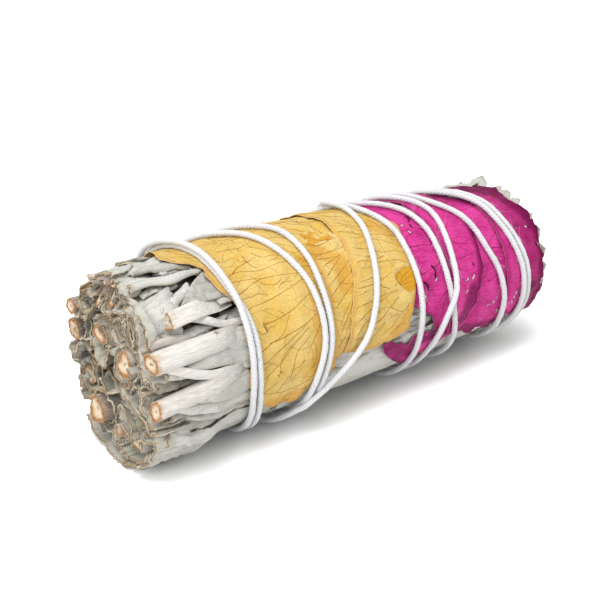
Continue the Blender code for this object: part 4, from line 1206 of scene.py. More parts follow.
def make_sprig(number):
    """All the parts of one sprig, in one object that stands for its solid."""
    rng = np.random.default_rng(100 + number)
    y, z = STEMS[number, :2]
    outward = math.atan2(z, y)
    angle = math.degrees(math.atan2(-y, z)) % 360
    parts = [core(number, 200 + number), stem(number, 300 + number, BARK.get(number, 0.9))]
    parts += leaves_at_cut(number, rng, outward)
    if number in at_rim:
        parts += outer_leaves(rng, angle) + outer_tips(rng, angle)
    for middle, start, width, depth in PLACED_TIPS.get(number, []):
        parts.append(leaf_tip(middle, start, PLACED_TIP_END, width, depth, 0.4, new_seed(rng)))
    for table, make in PLACED_BY_HAND:
        for found in table.get(number, []):
            parts.append(make(seed=new_seed(rng), **found))
    for _ in range(8):
        parts.append(inner_tip(number, rng.uniform(0.2, 0.95), outward + rng.uniform(-2.4, 2.4),
                               rng.uniform(1.2, 2.2), rng.uniform(3.0, 8.0), new_seed(rng)))
    name = f"sage_sprig_{number + 1:02d}"
    object_from("leafy_" + name, parts, [leaf.material, wood.material], name)


for number in range(len(STEMS)):
    make_sprig(number)

# %% [markdown]
# ## The string's route
# The string winds out in nearly nine turns and comes back over them in a little more than two.
# Its route is a list of (angle, x), with the angle growing by 360 a turn, so where it crosses
# any angle can be read off by adding whole turns. The petals need that too, because the string
# presses into them. The list below gives angle, x, angle, x and so on.

# %% String route
STRING_ROUTE = np.reshape([
    -134, -42.5, -122, -40.4, -110, -37, -90, -35.2, -60, -35.2, -30, -35.7, -12, -35.6, 0, -35.3,
    15, -34.9, 30, -34.8, 44, -34.3, 54, -33.4, 64, -32.8, 75, -32.6, 87, -32.6, 106, -32,
    125, -30.6, 148, -28.6, 180, -27.6, 215, -28.2, 250, -28.8, 300, -29.2, 330, -28.2,
    348, -25.8, 360, -23, 373, -21.2, 392, -19.2, 410, -17.7, 432, -17.2, 446, -17.3, 467, -18.7,
    490, -19.5, 510, -19.7, 560, -20.2, 610, -22.4, 660, -23.2, 690, -22, 705, -20, 716, -17.4,
    726, -15.4, 740, -15, 758, -15, 772, -15.5, 800, -15.6, 814, -16.1, 830, -17, 850, -17.8,
    870, -17.6, 910, -14.4, 950, -8, 990, -0.6, 1030, 4.2, 1055, 5.8, 1078, 6.2, 1093, 7.4,
    1109, 8.8, 1125, 8.6, 1140, 8.6, 1158, 8.8, 1180, 9.1, 1201, 9.7, 1220, 9.8, 1240, 9.2,
    1280, 8.6, 1330, 9, 1380, 9.8, 1415, 10.6, 1430, 11.8, 1443, 14, 1457, 16.2, 1475, 17,
    1497, 16.8, 1509, 16.9, 1518, 17.2, 1526, 17.7, 1539, 18.8, 1560, 21, 1580, 22.2, 1640, 21,
    1690, 18.6, 1740, 17.4, 1775, 17.4, 1795, 18.8, 1807, 20.8, 1820, 21.9, 1834, 21.4,
    1847, 20.2, 1862, 19.1, 1874, 18.7, 1881, 17.8, 1888, 16.7, 1899, 15.4, 1912, 14.8,
    1942, 13.6, 1960, 13, 2000, 14.4, 2050, 18, 2100, 20.6, 2135, 21.6, 2155, 22.6, 2171, 24,
    2182, 26.4, 2192, 28.6, 2206, 29.7, 2218, 30.5, 2235, 33, 2256, 35, 2278, 36, 2294, 37,
    2310, 37.4, 2360, 36.8, 2410, 34.6, 2460, 31.6, 2490, 29.8, 2508, 29.8, 2521, 32, 2532, 34.4,
    2546, 36.7, 2560, 37.4, 2580, 39.2, 2598, 40.8, 2622, 42, 2638, 42.2, 2652, 40.8, 2670, 39.4,
    2720, 38.6, 2770, 36.6, 2820, 34, 2850, 32.2, 2866, 31.6, 2881, 33.6, 2892, 36, 2906, 38.3,
    2920, 39, 2940, 40.8, 2958, 42.4, 2982, 43.6, 2998, 43.8, 3012, 42.4, 3030, 41.2, 3060, 40.4,
    3085, 38.6, 3112, 32.6, 3137, 25, 3162, 17.6, 3187, 10.8, 3210, 6.2, 3225, 4.4, 3241, 4,
    3260, 2.7, 3284, -0.3, 3309, -3.2, 3329, -6.3, 3341, -10.2, 3352, -15.2, 3362, -19.2,
    3378, -22.2, 3395, -23.4, 3430, -24.4, 3460, -26.8, 3490, -30.8, 3520, -33.6, 3550, -35.8,
    3572, -36.8, 3588, -36.4, 3600, -35.6, 3615, -35, 3630, -34.9, 3650, -34.5, 3675, -34.1,
    3706, -33.6, 3725, -32.2, 3748, -30.4, 3780, -29.8, 3815, -31.8, 3838, -34.6, 3850, -37.4,
    3862, -41], (-1, 2))
STRING_RADIUS = 0.6


def smooth_route():
    """The route in steps of about one degree, its corners rounded by a running average."""
    angles, xs = STRING_ROUTE.T
    fine = np.linspace(angles[0], angles[-1], 4000)
    x = np.interp(fine, angles, xs)
    kernel = np.hanning(24)
    padded = np.pad(x, 24, mode="edge")
    return fine, np.convolve(padded, kernel / kernel.sum(), mode="same")[24:-24]


route_angle, route_x = smooth_route()


def to_string(x, angle):
    """The distance along the bundle to the nearest strand at that angle."""
    nearest = np.full(np.broadcast(x, angle).shape, FAR)
    for turn in range(-1, 12):
        at = angle % 360 + 360 * turn
        there = (at > route_angle[0]) & (at < route_angle[-1])
        strand = np.interp(at, route_angle, route_x)
        nearest = np.where(there, np.minimum(nearest, np.abs(x - strand)), nearest)
    return nearest


print("string turns:", round((route_angle[-1] - route_angle[0]) / 360, 1))

# %% [markdown]
# ## Dried rose petals
# A petal lies on the sage as a thin sheet. Its near and far margins are lists of angle, x and its
# two ends, top and bottom, lists of share along it, angle. lift tells how far its near and far
# sides lie over a neighbour, and over how many millimetres. Its veins spread from its base.

# %% Petal shapes
PETALS = {
    "yellow_petal_1": dict(near=[-64, -31, -40, -37, -4, -40.6, 6, -42.3, 14, -42.9, 17, -41.6,
        20, -38.4, 22, -36, 25, -36.1, 28, -37, 35, -36.6, 41, -35.8, 44, -34.9, 48, -34.1,
        96, -34.1, 104, -34.1, 117, -33, 126, -30], far=[-64, -14, 126, -14], top=[0, -50,
        0.3, -60, 0.7, -63, 1, -58], bottom=[0, 115, 0.2, 123, 0.45, 125, 0.6, 121, 0.8, 112,
        1, 106], lift=(0, 1), over=7, base=(-9, 50), ragged=0.14),
    "yellow_petal_2": dict(near=[-60, -19, 99, -19], far=[-60, -2.5, 47, -4, 99, -8], top=[0, -59,
        0.5, -63, 1, -57], bottom=[0, 104, 0.3, 101, 1, 98], lift=(0, 0), over=5, base=(0, 35)),
    "yellow_petal_3": dict(near=[-60, -6.5, -10, -4.5, 28, -4.7, 37, -5.3, 47, -6.2, 56, -7.1,
        66, -8.7, 80, -10, 99, -12], far=[-60, 5, -1, 8.2, 17, 9.9, 28, 10.9, 39, 10.1, 57, 8.4,
        62, 8.9, 79, 7.2, 93, 5.4, 99, 3.6], top=[0, -61, 0.5, -66, 1, -60], bottom=[0, 98,
        0.4, 101, 0.8, 100, 1, 96], lift=(0.7, 1), over=14, base=(16, 58), ragged=0.06),
    "yellow_petal_4": dict(near=[208, -27, 230, -31, 262, -30, 284, -25], far=[208, -9, 240, -3,
        270, -4, 284, -8], top=[0, 217, 0.5, 209, 1, 214], bottom=[0, 281, 0.5, 287, 1, 279],
        lift=(0, 0), over=5, base=(-4, 250)),
    "magenta_petal_1": dict(near=[100, -1.2, 103, -1.2, 110, -0.1, 117, 1.9, 129, 5.3, 146, 10.3],
        far=[100, 15, 106, 18.5, 114, 19.6, 118, 18.6, 121, 16.5, 127, 14.6, 146, 13.5],
        top=[0, 103, 0.1, 102, 0.2, 104.5, 0.35, 108.5, 0.5, 106, 0.65, 104.5, 1, 104],
        bottom=[0, 112, 0.1, 123, 0.25, 136, 0.4, 144, 0.55, 146, 0.7, 143, 0.85, 135, 1, 124],
        lift=(0, 0), over=4, base=(18, 108), ragged=0.05),
    "magenta_petal_2": dict(near=[-64, 3, 10, 5.4, 60, 5.6, 74, 6.6, 84, 7.4, 88, 9.6, 92, 11.6,
        98, 12.8, 104, 14.5, 120, 17], far=[-64, 20, 114, 22], top=[0, -58, 0.5, -65, 1, -60],
        bottom=[0, 104, 0.3, 110, 0.6, 116, 1, 118], lift=(0, 0), over=4, base=(26, 50)),
    "magenta_petal_3": dict(near=[-60, 17, 112, 18.5], far=[-60, 25, 0, 27.6, 30, 29.2, 48, 29.4,
        75, 28, 96, 25.4, 114, 22.4], top=[0, -60, 0.5, -66, 1, -57], bottom=[0, 117, 0.6, 117,
        1, 110], lift=(1, 1), over=14, base=(10, 50)),
    "magenta_petal_4": dict(near=[-62, 22, 60, 24, 95, 22.5, 114, 21.5, 121, 24], far=[-62, 38,
        60, 40, 125, 40], top=[0, -57, 0.5, -64, 1, -59], bottom=[0, 118, 0.25, 124, 0.5, 127,
        0.75, 131, 0.9, 130, 1, 124], lift=(0, 0), over=4, base=(18, 62)),
    "magenta_petal_5": dict(near=[-52, 35, 40, 36, 125, 36], far=[-52, 44, -10, 47.4, -3, 48.2,
        8, 48.2, 16, 47.6, 26, 46.7, 33, 48.6, 41, 49.8, 50, 49.7, 59, 49.3, 70, 49, 82, 49.2,
        93, 49.9, 107, 50, 119, 49.6, 130, 48.4], top=[0, -50, 0.6, -46, 1, -38], bottom=[0, 116,
        0.4, 123, 1, 127], lift=(1, 0), over=5, base=(30, 64)),
    "magenta_petal_6": dict(near=[208, 13, 235, 8, 265, 9, 287, 14], far=[208, 34, 230, 38.5,
        262, 40, 287, 34], top=[0, 216, 0.5, 208, 1, 215], bottom=[0, 281, 0.4, 288, 1, 280],
        lift=(0, 0), over=5, base=(10, 250)),
}


print("petals:", len(PETALS))

# %% [markdown]
# ## Torn, split and stained places
# These are the places where a petal's upper skin is torn off, where it is split, where it is
# stained darker, and where small holes show pale leaf. All are outlines or lines of x, angle,
# x, angle and so on, read off the photograph, because they make each petal its own.

# %% Torn, split and stained places
TORN = {
    "yellow_petal_2": [-12.1, 16, -10.5, 14, -10.4, 17, -8.1, 13, -8.4, 16, -9.4, 19, -8.6, 22,
        -5.4, 21, -5, 25, -8, 26, -11.1, 27, -12.7, 28, -11.8, 22],
    "yellow_petal_3": [3, 63, 3.3, 60, 4.4, 58, 6.4, 57, 9.3, 57.2, 9.5, 63, 8.6, 69.5, 7.2, 73,
        6.2, 74, 5, 71.5, 3.6, 67],
}
SPLITS = {
    "yellow_petal_1": [[-30.2, 65, -29.9, 68, -29.7, 71], [-26.6, 15, -27.2, 22, -27.5, 27],
        [-27.2, 96, -28.2, 98]],
    "magenta_petal_2": [[13.7, 61, 14.2, 63, 14.3, 65, 14, 67, 14.1, 70], [10.8, 70, 11.7, 73,
        11.6, 76], [15.6, 20, 16, 23, 14.9, 26], [14.6, 28, 14.3, 32]],
    "magenta_petal_3": [[25.5, 67.4, 25.7, 68.6]],
    "magenta_petal_5": [[46.7, 52, 47.3, 54], [47.4, 66.5, 47.6, 68.5], [48, 36, 48.4, 38],
        [49, 54.6, 49.1, 56]],
}
STAINS = {
    "magenta_petal_1": [[4, 120, 7, 131, 11, 140, 13, 132], [1, 107, 6, 116, 10, 122], [9, 113,
        16, 110]],
    "yellow_petal_1": [[-16.2, 38, -16.8, 63, -17.6, 84, -19, 99], [-28, 121, -18, 117]],
    "yellow_petal_2": [[-14.6, 40, -14.8, 63, -16, 89], [-12, 30, -8, 42, -9, 58]],
    "yellow_petal_3": [[5, 22, 9, 40], [7.5, 84, 2, 97]],
    "magenta_petal_2": [[20.5, -50, 20.6, 100]],
    "magenta_petal_3": [[16, -26, 24, -22, 29, -18], [29.6, 46, 29.3, 60, 27.6, 80, 25.6, 98],
        [27, -10, 30, 4], [25, 84, 22, 104]],
    "magenta_petal_4": [[27, -24, 31, -13, 33, -4, 36, 8], [30, -24, 34, -12, 37, -2], [28.5, -8,
        31, 3, 33.5, 12, 36, 20], [24, 116, 30, 122, 37, 127]],
    "magenta_petal_5": [[37, -24, 38, -8, 40, 6], [40, -22, 41, -4, 42, 12], [36, 6, 37.5, 20],
        [42.5, -24, 45, -8, 45.4, 6, 44.8, 18], [48, -10, 47.6, 14], [45, 25, 47.4, 34, 48.4, 45,
        49.4, 60, 49.6, 100, 48, 124], [46, 100, 42, 120]],
}
TEARS = {
    "magenta_petal_2": [[12.6, 33, 13.3, 36], [12.3, 27.5, 12.9, 28], [14.3, 70, 14.1, 71],
        [10.9, 78, 10.2, 81]],
    "magenta_petal_3": [[22.5, 77, 23.2, 76.4], [24.8, 77, 25.5, 75], [22.5, 85, 22.8, 84]],
    "magenta_petal_4": [[33.4, 98.5, 33, 101, 32.6, 102], [31.8, 102, 30.6, 102.5], [35.2, 111,
        35.5, 115], [29.5, 123, 31.5, 124.5]],
    "magenta_petal_5": [[40.5, 97.5, 40.2, 99, 39.6, 102, 38.9, 107], [40, 99, 39.4, 103],
        [49.6, 97, 49.2, 101], [46.2, 52, 46.5, 53], [48, 67, 48.1, 68]],
}


print("splits and tears:", sum(len(lines) for lines in [*SPLITS.values(), *TEARS.values()]))

# %% [markdown]
# ## Distances on a petal
# A petal is measured along the bundle and round it, both in millimetres. The marks need how far
# a place is from a line, and whether it lies within an outline: a ray that leaves a closed line
# crosses it an odd number of times.

# %% Distances on a petal
QUARTER = 90 / MIDDLE_RADIUS
SQUARE = [0, 0, 9, 0, 9, QUARTER, 0, QUARTER]


def to_line(x, round_mm, line):
    """The distance from places on a petal to a line of places x, angle, x, angle."""
    line = np.reshape(line, (-1, 2)) * (1, np.radians(MIDDLE_RADIUS))
    nearest = np.full(x.shape, FAR)
    for (x0, r0), (x1, r1) in zip(line[:-1], line[1:]):
        long = (x1 - x0) ** 2 + (r1 - r0) ** 2
        t = np.clip(((x - x0) * (x1 - x0) + (round_mm - r0) * (r1 - r0)) / long, 0, 1)
        nearest = np.minimum(nearest, np.hypot(x - x0 - t * (x1 - x0),
                                               round_mm - r0 - t * (r1 - r0)))
    return nearest


def within(x, round_mm, places):
    """1 inside a closed outline and 0 outside, with a slope a third of a millimetre wide."""
    closed = places + places[:2]
    line = np.reshape(closed, (-1, 2)) * (1, np.radians(MIDDLE_RADIUS))
    crossings = np.zeros(x.shape)
    for (x0, r0), (x1, r1) in zip(line[:-1], line[1:]):
        crossings += ((r0 > round_mm) != (r1 > round_mm)) & (
            x < x0 + (x1 - x0) * (round_mm - r0) / (r1 - r0 + 1e-9))
    away = to_line(x, round_mm, closed)
    return smooth_step(-0.15, 0.15, np.where(crossings % 2 == 1, away, -away)), away


print("a place 1 mm inside a square:", float(within(np.array(1.0), 1.0, SQUARE)[0]))

# %% [markdown]
# ## How high a petal lies
# A petal rests on the sage, and its lifted side lies a step higher, over its neighbour. Between
# the strands it bulges and wrinkles, and under them it is flat, so its height depends on the
# distance to the string.

# %% A petal's height
PETAL_GAP, PETAL_THICKNESS, PETAL_STEP = 0.08, 0.26, 0.42
PETAL_BULGE, WRINKLE = 0.30, 0.10


def margins(petal, at, sides=("near", "far")):
    """Two of a petal's margins: near and far by the angle, or top and bottom by the share."""
    return [np.interp(at, petal[side][::2], petal[side][1::2]) for side in sides]


def petal_lift(petal, x, angle):
    """How far a petal is raised over its neighbours, from one lifted side edge to the other."""
    near, far = margins(petal, angle)
    low, high = petal["lift"]
    from_near = smooth_step(near + petal["over"], near + petal["over"] + 4, x)
    from_far = smooth_step(far - petal["over"] - 4, far - petal["over"], x)
    return np.maximum(low * (1 - from_near), high * from_far)


def petal_rest(petal, x, angle):
    """The radius of a petal's underside where a strand holds it down."""
    return sage_radius(x, angle) + PETAL_GAP + PETAL_STEP * petal_lift(petal, x, angle)


def petal_radius(name, x, angle):
    """The radius of a petal's underside: it bulges away from the strands and is wrinkled."""
    petal = PETALS[name]
    free = smooth_step(0.5, 3.0, to_string(x, angle))
    round_mm = np.radians(angle) * MIDDLE_RADIUS
    seed = 10 + list(PETALS).index(name)
    hills = 0.5 + 0.5 * waver(1, 9.0, x, 1.6 * round_mm)
    wrinkles = WRINKLE * waver(seed, 5.0, 0.45 * x, round_mm)
    if name in TORN:
        inside, away = within(x, round_mm, TORN[name])
        wrinkles = wrinkles + 0.35 * np.exp(-away / 0.5) * (1 - inside) - 0.2 * inside
    for line in SPLITS.get(name, []):
        wrinkles = wrinkles + 0.2 * np.exp(-(to_line(x, round_mm, line) / 0.5) ** 2)
    return petal_rest(petal, x, angle) + free * (PETAL_BULGE * hills + wrinkles) + 0.02


print("a petal's underside at the top of the middle:",
      round(float(petal_rest(PETALS["yellow_petal_3"], 0.0, 0.0)), 2), "mm from the axis")

# %% [markdown]
# ## The petal's sheet
# The sheet is a fine grid, closer at the margins, whose outline is made ragged by noise. Its
# margin curls up a little where the string doesn't hold it. The marks and holes are kept as
# numbers on its points, for the finish to colour.

# %% A petal's sheet
PETAL_MESH, RAGGED = 0.40, 0.20
PETAL_FLOOR = 0.2


def ragged(seed, along, size, depth):
    """A torn outline: noise with sharp bites where it peaks."""
    raw = waver(seed, size, along) + 0.35 * waver(seed + 1, size / 2.5, along)
    return depth * (raw + 2.2 * np.maximum(raw - 0.6, 0))


def petal_grid(petal):
    """Shares along and round a petal, from 0 to 1, with smaller steps at its margins."""
    angles = petal["near"][::2]
    long = max(petal["far"][1::2]) - min(petal["near"][1::2])
    rows = int(np.radians(max(angles) - min(angles)) * MIDDLE_RADIUS / PETAL_MESH)
    v, u = grid(np.linspace(0, 1, rows), np.linspace(0, 1, int(long / PETAL_MESH)))
    v, u = (0.5 - 0.5 * np.cos(np.pi * t) * 0.35 + 0.65 * (t - 0.5) for t in (v, u))
    v, u = ((t - t.min()) / (t.max() - t.min()) for t in (v, u))
    return u, v, long


def petal_marks(name, seed, x, round_mm):
    """How stained, how far from a split and how far from a hole each place of a petal is."""
    mark = 0 * x
    for line in STAINS.get(name, []):
        mark = np.maximum(mark, 1 - smooth_step(0.2, 3.0, to_line(x, round_mm, line)))
    split, hole = np.full(x.shape, FAR), np.full(x.shape, FAR)
    if name in TORN:
        inside, away = within(x, round_mm, TORN[name])
        mark = np.where(inside > 0.3, 2.0 * inside, mark)
        hole = np.where(inside > 0.5, away + 0.4, away)
    for line in SPLITS.get(name, []):
        split = np.minimum(split, to_line(x, round_mm, line))
    for line in TEARS.get(name, []):
        away = to_line(x, round_mm, line)
        hole = np.minimum(hole, away - 0.16 * (1 + waver(seed, 1.2, x, round_mm)))
    return mark, split, hole


def petal_blade(name):
    """The petal's sheet on a grid that runs round the bundle and along it."""
    petal = PETALS[name]
    seed = 50 + 7 * list(PETALS).index(name)
    u, v, long = petal_grid(petal)
    top, bottom = margins(petal, u, ("top", "bottom"))
    top = top + ragged(seed, long * u, 9.0, 0.8)
    bottom = bottom + ragged(seed + 1, long * u, 8.0, 0.8)
    angle = top + (bottom - top) * v
    round_mm = np.radians(angle) * MIDDLE_RADIUS
    rough = petal.get("ragged", RAGGED)
    near, far = margins(petal, angle)
    near = near + ragged(seed + 2, round_mm, 8.0, rough)
    far = far + ragged(seed + 3, round_mm, 8.0, rough)
    x = near + (far - near) * u
    across = np.minimum(u, 1 - u) * (far - near)
    down = np.minimum(v, 1 - v) * np.radians(bottom - top) * MIDDLE_RADIUS
    edge = np.minimum(across, down)
    radius = petal_radius(name, x, angle) + PETAL_THICKNESS / 2
    curl = 0.28 * np.exp(-edge / 0.9) * (0.5 + 0.5 * waver(seed + 4, 6.0, x, round_mm))
    radius = radius + curl * smooth_step(1.0, 3.0, to_string(x, angle))
    mark, split, hole = petal_marks(name, seed, x, round_mm)
    made = blade(place(x, angle, radius, lowest=PETAL_FLOOR),
                 thinned(PETAL_THICKNESS, edge, reach_in=0.5), cut=split, edge=edge,
                 uv=np.stack([x, round_mm], axis=-1))
    made["mark"], made["ring"] = (np.tile(value.ravel(), 2) for value in (mark, hole))
    return made


print("a petal's grid:", petal_grid(PETALS["magenta_petal_1"])[0].shape)


# %% [markdown]
# ## Veins
# A petal's veins spread from its base and fork on their way to the margin. The clearest ones
# are traced, as lists of x, angle, x, angle; between them lies a net of finer ones, lines that spread
# from the base with links from each to the next. Each vein is a fine ridge, a two-sided profile
# carried along its line on the petal.

# %% Vein lines
TRACED = {
    "yellow_petal_1": [[-33, 46, -31.6, 45, -29.1, 42, -26.4, 40, -21.3, 42, -18, 43], [-33, 37.5,
        -31.1, 38, -26.4, 40], [-34, 34, -32, 33, -29.5, 32, -26.1, 35, -24.8, 34, -18, 34],
        [-33, 57, -31.8, 55, -27.5, 54, -21.2, 50, -16.5, 45], [-29.9, 66, -27.6, 66, -23.1, 63,
        -19.8, 58, -16.8, 55], [-29.5, 77.5, -27.4, 77, -22.9, 74, -20.5, 72, -16.7, 67],
        [-24.9, 21, -23.8, 27, -20.1, 28, -18.1, 33], [-31.5, 81, -30.4, 79, -26.4, 75, -23.5, 63],
        [-32, 90, -30.7, 88, -24.2, 78, -20.5, 72], [-32, 100, -30.4, 97, -27.3, 91, -23.9, 82,
        -21.4, 76], [-27.8, 99, -27.5, 93, -27, 88, -24, 81, -20.1, 74], [-24.9, 103, -24.5, 94,
        -23.4, 86, -19.8, 78], [-21.3, 90, -19.4, 82, -17.7, 75], [-20.5, 110, -18.8, 104,
        -16.7, 95], [-31.8, 33, -30, 29, -27, 27, -24.7, 25], [-19.6, 18, -17.9, 25, -16.5, 31],
        [-33, -20, -26, -14, -20, -12], [-32, 0, -25, 3, -18, 2], [-31, 12, -27, 14, -21, 10],
        [-30, 110, -25, 112, -20, 108]],
    "yellow_petal_2": [[-12.4, 29, -8.9, 28, -5.1, 25], [-12.8, 37, -7.6, 39], [-12.3, 43,
        -6.7, 38, -4.9, 36], [-13.3, 51, -6.9, 39], [-12.6, 55, -5.5, 43], [-13.3, 62, -10.8, 57,
        -6.1, 50], [-13.6, 70, -9.8, 63, -6.5, 56], [-13, 86, -9.7, 73, -6.8, 58], [-12.2, 78,
        -9.2, 67], [-13.5, 94, -11, 84, -9.6, 76]],
    "yellow_petal_3": [[-4.9, 36, 0.3, 40, 3, 45, 5.8, 45, 9.4, 50], [-3.8, 22, -0.4, 25, 1.3, 32,
        5.4, 38, 8.3, 45], [-5.7, 47, -3.3, 46, 0.7, 50, 5.2, 51, 8.5, 56], [-7.4, 62, -2.8, 62,
        0.6, 60, 3.4, 57.5], [-1.1, 69, 2.6, 66.4], [-8.8, 73, -6.6, 72, -3.5, 71, 2.1, 69],
        [-10.3, 85, -7.3, 79, -3.1, 74, 3.6, 68.5], [-3.6, 85, 3.2, 73], [-2.3, 95, 6.8, 78],
        [-9.5, 90, -6.1, 82, -1, 77], [-6, 97, -1, 86], [3.8, 66, 6, 61, 8.6, 59.5], [3.8, 66.5,
        6.4, 64, 9, 63], [3.9, 67, 6.4, 67, 8.8, 67], [3.9, 68, 5.8, 70, 7.6, 71.5], [-3, 0, 2, 8,
        8, 12], [-3.5, 12, 1, 20, 8, 26], [-3, 24, 3, 30, 9.5, 37]],
    "magenta_petal_2": [[10.4, 45, 13.4, 46, 16.4, 47, 18, 47], [9, 66, 15, 62, 19, 60]],
    "magenta_petal_3": [[21.3, 50, 24, 52, 26.9, 54, 29, 55], [22, 62, 28, 60]],
    "magenta_petal_4": [[31, 60, 33.6, 61, 37, 62.5, 40.4, 63], [30, 84, 37, 78]],
}


print("traced veins:", sum(len(lines) for lines in TRACED.values()))

# %% [markdown]
# ## The net of fine veins
# New lines fork off wherever their neighbours have spread too far apart, as a real vein net
# grows. The draws follow one list of lines, so the net is the same every time.

# %% The net of fine veins
def net_veins(name, spacing, rng):
    """A net of fine veins: pairs of a line and how thick it is, from 0 to 1.

    The lines run out from the petal's base and wander. New ones fork off half way between two
    others wherever these have spread twice the spacing apart, and short slanted lines link each
    to its neighbour."""
    petal = PETALS[name]
    seed = 300 + list(PETALS).index(name)
    out = np.arange(1.5, 56.0, 0.5)
    count = 8 * int(2 * np.pi * 34 / spacing / 8)
    number = np.arange(count)
    way = number * 2 * np.pi / count + rng.uniform(-0.3, 0.3, count) * 2 * np.pi / count
    step = np.gcd(number, 8)
    starts = spacing * count / (2 * np.pi) / step * rng.uniform(0.5, 0.95, count)
    far, way = grid(out, way)
    x = petal["base"][0] + far * np.cos(way)
    across = np.radians(petal["base"][1]) * MIDDLE_RADIUS + far * np.sin(way)
    net = np.stack([start + 0.9 * waver(seed + k, 11.0, x, across)
                    + 0.12 * waver(seed + k + 1, 2.4, x, across)
                    for k, start in ((0, x), (2, across))], axis=-1)
    lines = []
    for size in (8, 4, 2, 1):
        for one in number[step == size]:
            begun = out > starts[one]
            if size < 8:
                parent = (one + rng.choice([-1, 1]) * size) % count
                own = smooth_step(starts[one], starts[one] + 1.6 * spacing, out)[:, None]
                net[:, one] = net[:, parent] * (1 - own) + net[:, one] * own
            lines.append((net[begun, one], 0.55 + 0.15 * math.log2(size)))
    for i in range(4, len(out) - 8):
        there = number[starts < out[i] - 1.0]
        for one, other in zip(there, np.roll(there, -1)):
            if (i + 5 * one) % 7 == 0 and rng.random() < 0.85:
                ahead = int(rng.choice([-5, -3, 3, 5, 6]))
                first, last = net[i, one], net[max(i + ahead, 0), other]
                if 0.8 < np.linalg.norm(last - first) < 2.6 * spacing:
                    t = np.linspace(0, 1, 9)[:, None]
                    bow = (last - first)[::-1] * (1, -1) * rng.uniform(-0.2, 0.2)
                    lines.append((first + (last - first) * t + bow * np.sin(np.pi * t), 0.45))
    return lines


print("lines of a net:", len(net_veins("magenta_petal_1", 3.2, np.random.default_rng(1))))

# %% [markdown]
# ## From lines to ridges
# A fine vein may cross a traced one but not run beside it. A ridge has two sides that meet above
# the line, with their feet in the petal, because so few squares are enough for a vein.

# %% Vein ridges
def clear_of(line, traced):
    """Which points of a fine vein may show: it may cross a traced vein, not run beside it."""
    if not traced:
        return np.ones(len(line), bool)
    others = np.concatenate(traced)
    ways = unit(np.concatenate([np.gradient(other, axis=0) for other in traced]))
    gap = np.linalg.norm(line[:, None] - others[None], axis=2)
    beside = np.abs((unit(np.gradient(line, axis=0)) * ways[gap.argmin(1)]).sum(1))
    return gap.min(1) > np.where(beside > 0.85, 0.8, 0.1)


def vein(name, line, half_width, shown=True):
    """Ridges on the petal along the shown stretches of a line.

    A ridge is two sides that meet above the line, with their feet in the petal. It stops where
    the line leaves the petal."""
    petal = PETALS[name]
    x, round_mm = line.T
    angle = np.degrees(round_mm / MIDDLE_RADIUS)
    near, far = margins(petal, angle)
    u = (x - near) / (far - near)
    top, bottom = margins(petal, u, ("top", "bottom"))
    inside = shown & (u > 0.03) & (u < 0.97) & (angle > top + 2) & (angle < bottom - 2)
    changes = np.flatnonzero(np.diff(np.concatenate([[0], inside.astype(int), [0]])))
    found = []
    for first, stop in changes.reshape(-1, 2):
        if stop - first < 7:
            continue
        keep = slice(first, stop)
        side = unit(np.gradient(line[keep], axis=0)[:, ::-1] * (-1, 1))
        taper = half_width * (1 - 0.5 * np.linspace(0, 1, stop - first))
        rows = []
        for shift, rise in ((-1, -0.02), (0, 0.05), (1, -0.02)):
            at = line[keep] + side * (shift * taper)[:, None]
            turn = np.degrees(at[:, 1] / MIDDLE_RADIUS)
            radius = petal_radius(name, at[:, 0], turn) + PETAL_THICKNESS
            rows.append(place(at[:, 0], turn, radius + rise, lowest=PETAL_FLOOR))
        points = np.stack(rows, axis=1)
        quads = corners(*points.shape[:2])[:, ::-1]
        found.append(loose(points.reshape(-1, 3), quads, slot=1))
    return found


def smooth_line(points):
    """A traced line in steps of half a millimetre, with its corners rounded."""
    points = np.reshape(points, (-1, 2)) * (1, np.radians(MIDDLE_RADIUS))
    lengths = np.concatenate([[0], np.cumsum(np.linalg.norm(np.diff(points, axis=0), axis=1))])
    at = np.arange(0, lengths[-1], 0.5)
    line = np.stack([np.interp(at, lengths, column) for column in points.T], axis=-1)
    if len(line) > 6:
        inner = [np.convolve(column, np.full(5, 0.2), "valid") for column in line.T]
        line = np.concatenate([line[:1], np.stack(inner, axis=-1), line[-1:]])
    return line


print("points on a traced vein of 6 places:", len(smooth_line(TRACED["yellow_petal_1"][0])))

# %% [markdown]
# ## Yellow petals and their veins
# Dried yellow petals are golden, darker and more orange at the margin and in spots, with brown
# veins and a pale rim. All petals are like thin paper: matt, with a weak satin gloss.

# %% Yellow petal finish
yellow = Finish("dried_yellow_petal", 0.6, specular=0.15)
broad = yellow.noise(yellow.millimetres(own_map=True), 0.16)
fine = yellow.noise(yellow.millimetres((0.5, 1.6, 1.0), own_map=True), 1.0, 5.0, 0.6)
net = yellow.cracks(yellow.millimetres((0.7, 1.0, 1.0), own_map=True), 1.25)
edge, mark = yellow.held("edge"), yellow.held("mark")
yellow.colour = yellow.between(broad, 0.35, 0.68, (0.89, 0.65, 0.23), (0.86, 0.56, 0.12))
yellow.lay((0.74, 0.42, 0.08), fine, 0.45, 0.75, 0.0, 0.45)
yellow.lay((0.42, 0.17, 0.03), net, 0.0, 0.09, 0.12, 0.0)
yellow.lay((0.68, 0.27, 0.02), yellow.plus(edge, broad, 2.0), 0.6, 2.4, 0.75, 0.0)
yellow.lay((0.72, 0.32, 0.02), yellow.times(mark, yellow.plus(0.35, fine)), 0.1, 0.6, 0.0, 0.5)
yellow.lay((0.82, 0.40, 0.015), mark, 1.2, 1.8, 0.0, 0.8)
yellow.lay((0.90, 0.78, 0.50), yellow.held("ring"), 0.12, 0.38, 0.5, 0.0)
yellow.lay((0.80, 0.64, 0.38), edge, 0.0, 0.3, 0.5, 0.0)
yellow.lay((0.30, 0.09, 0.01), yellow.held("cut"), 0.08, 0.28, 0.85, 0.0)
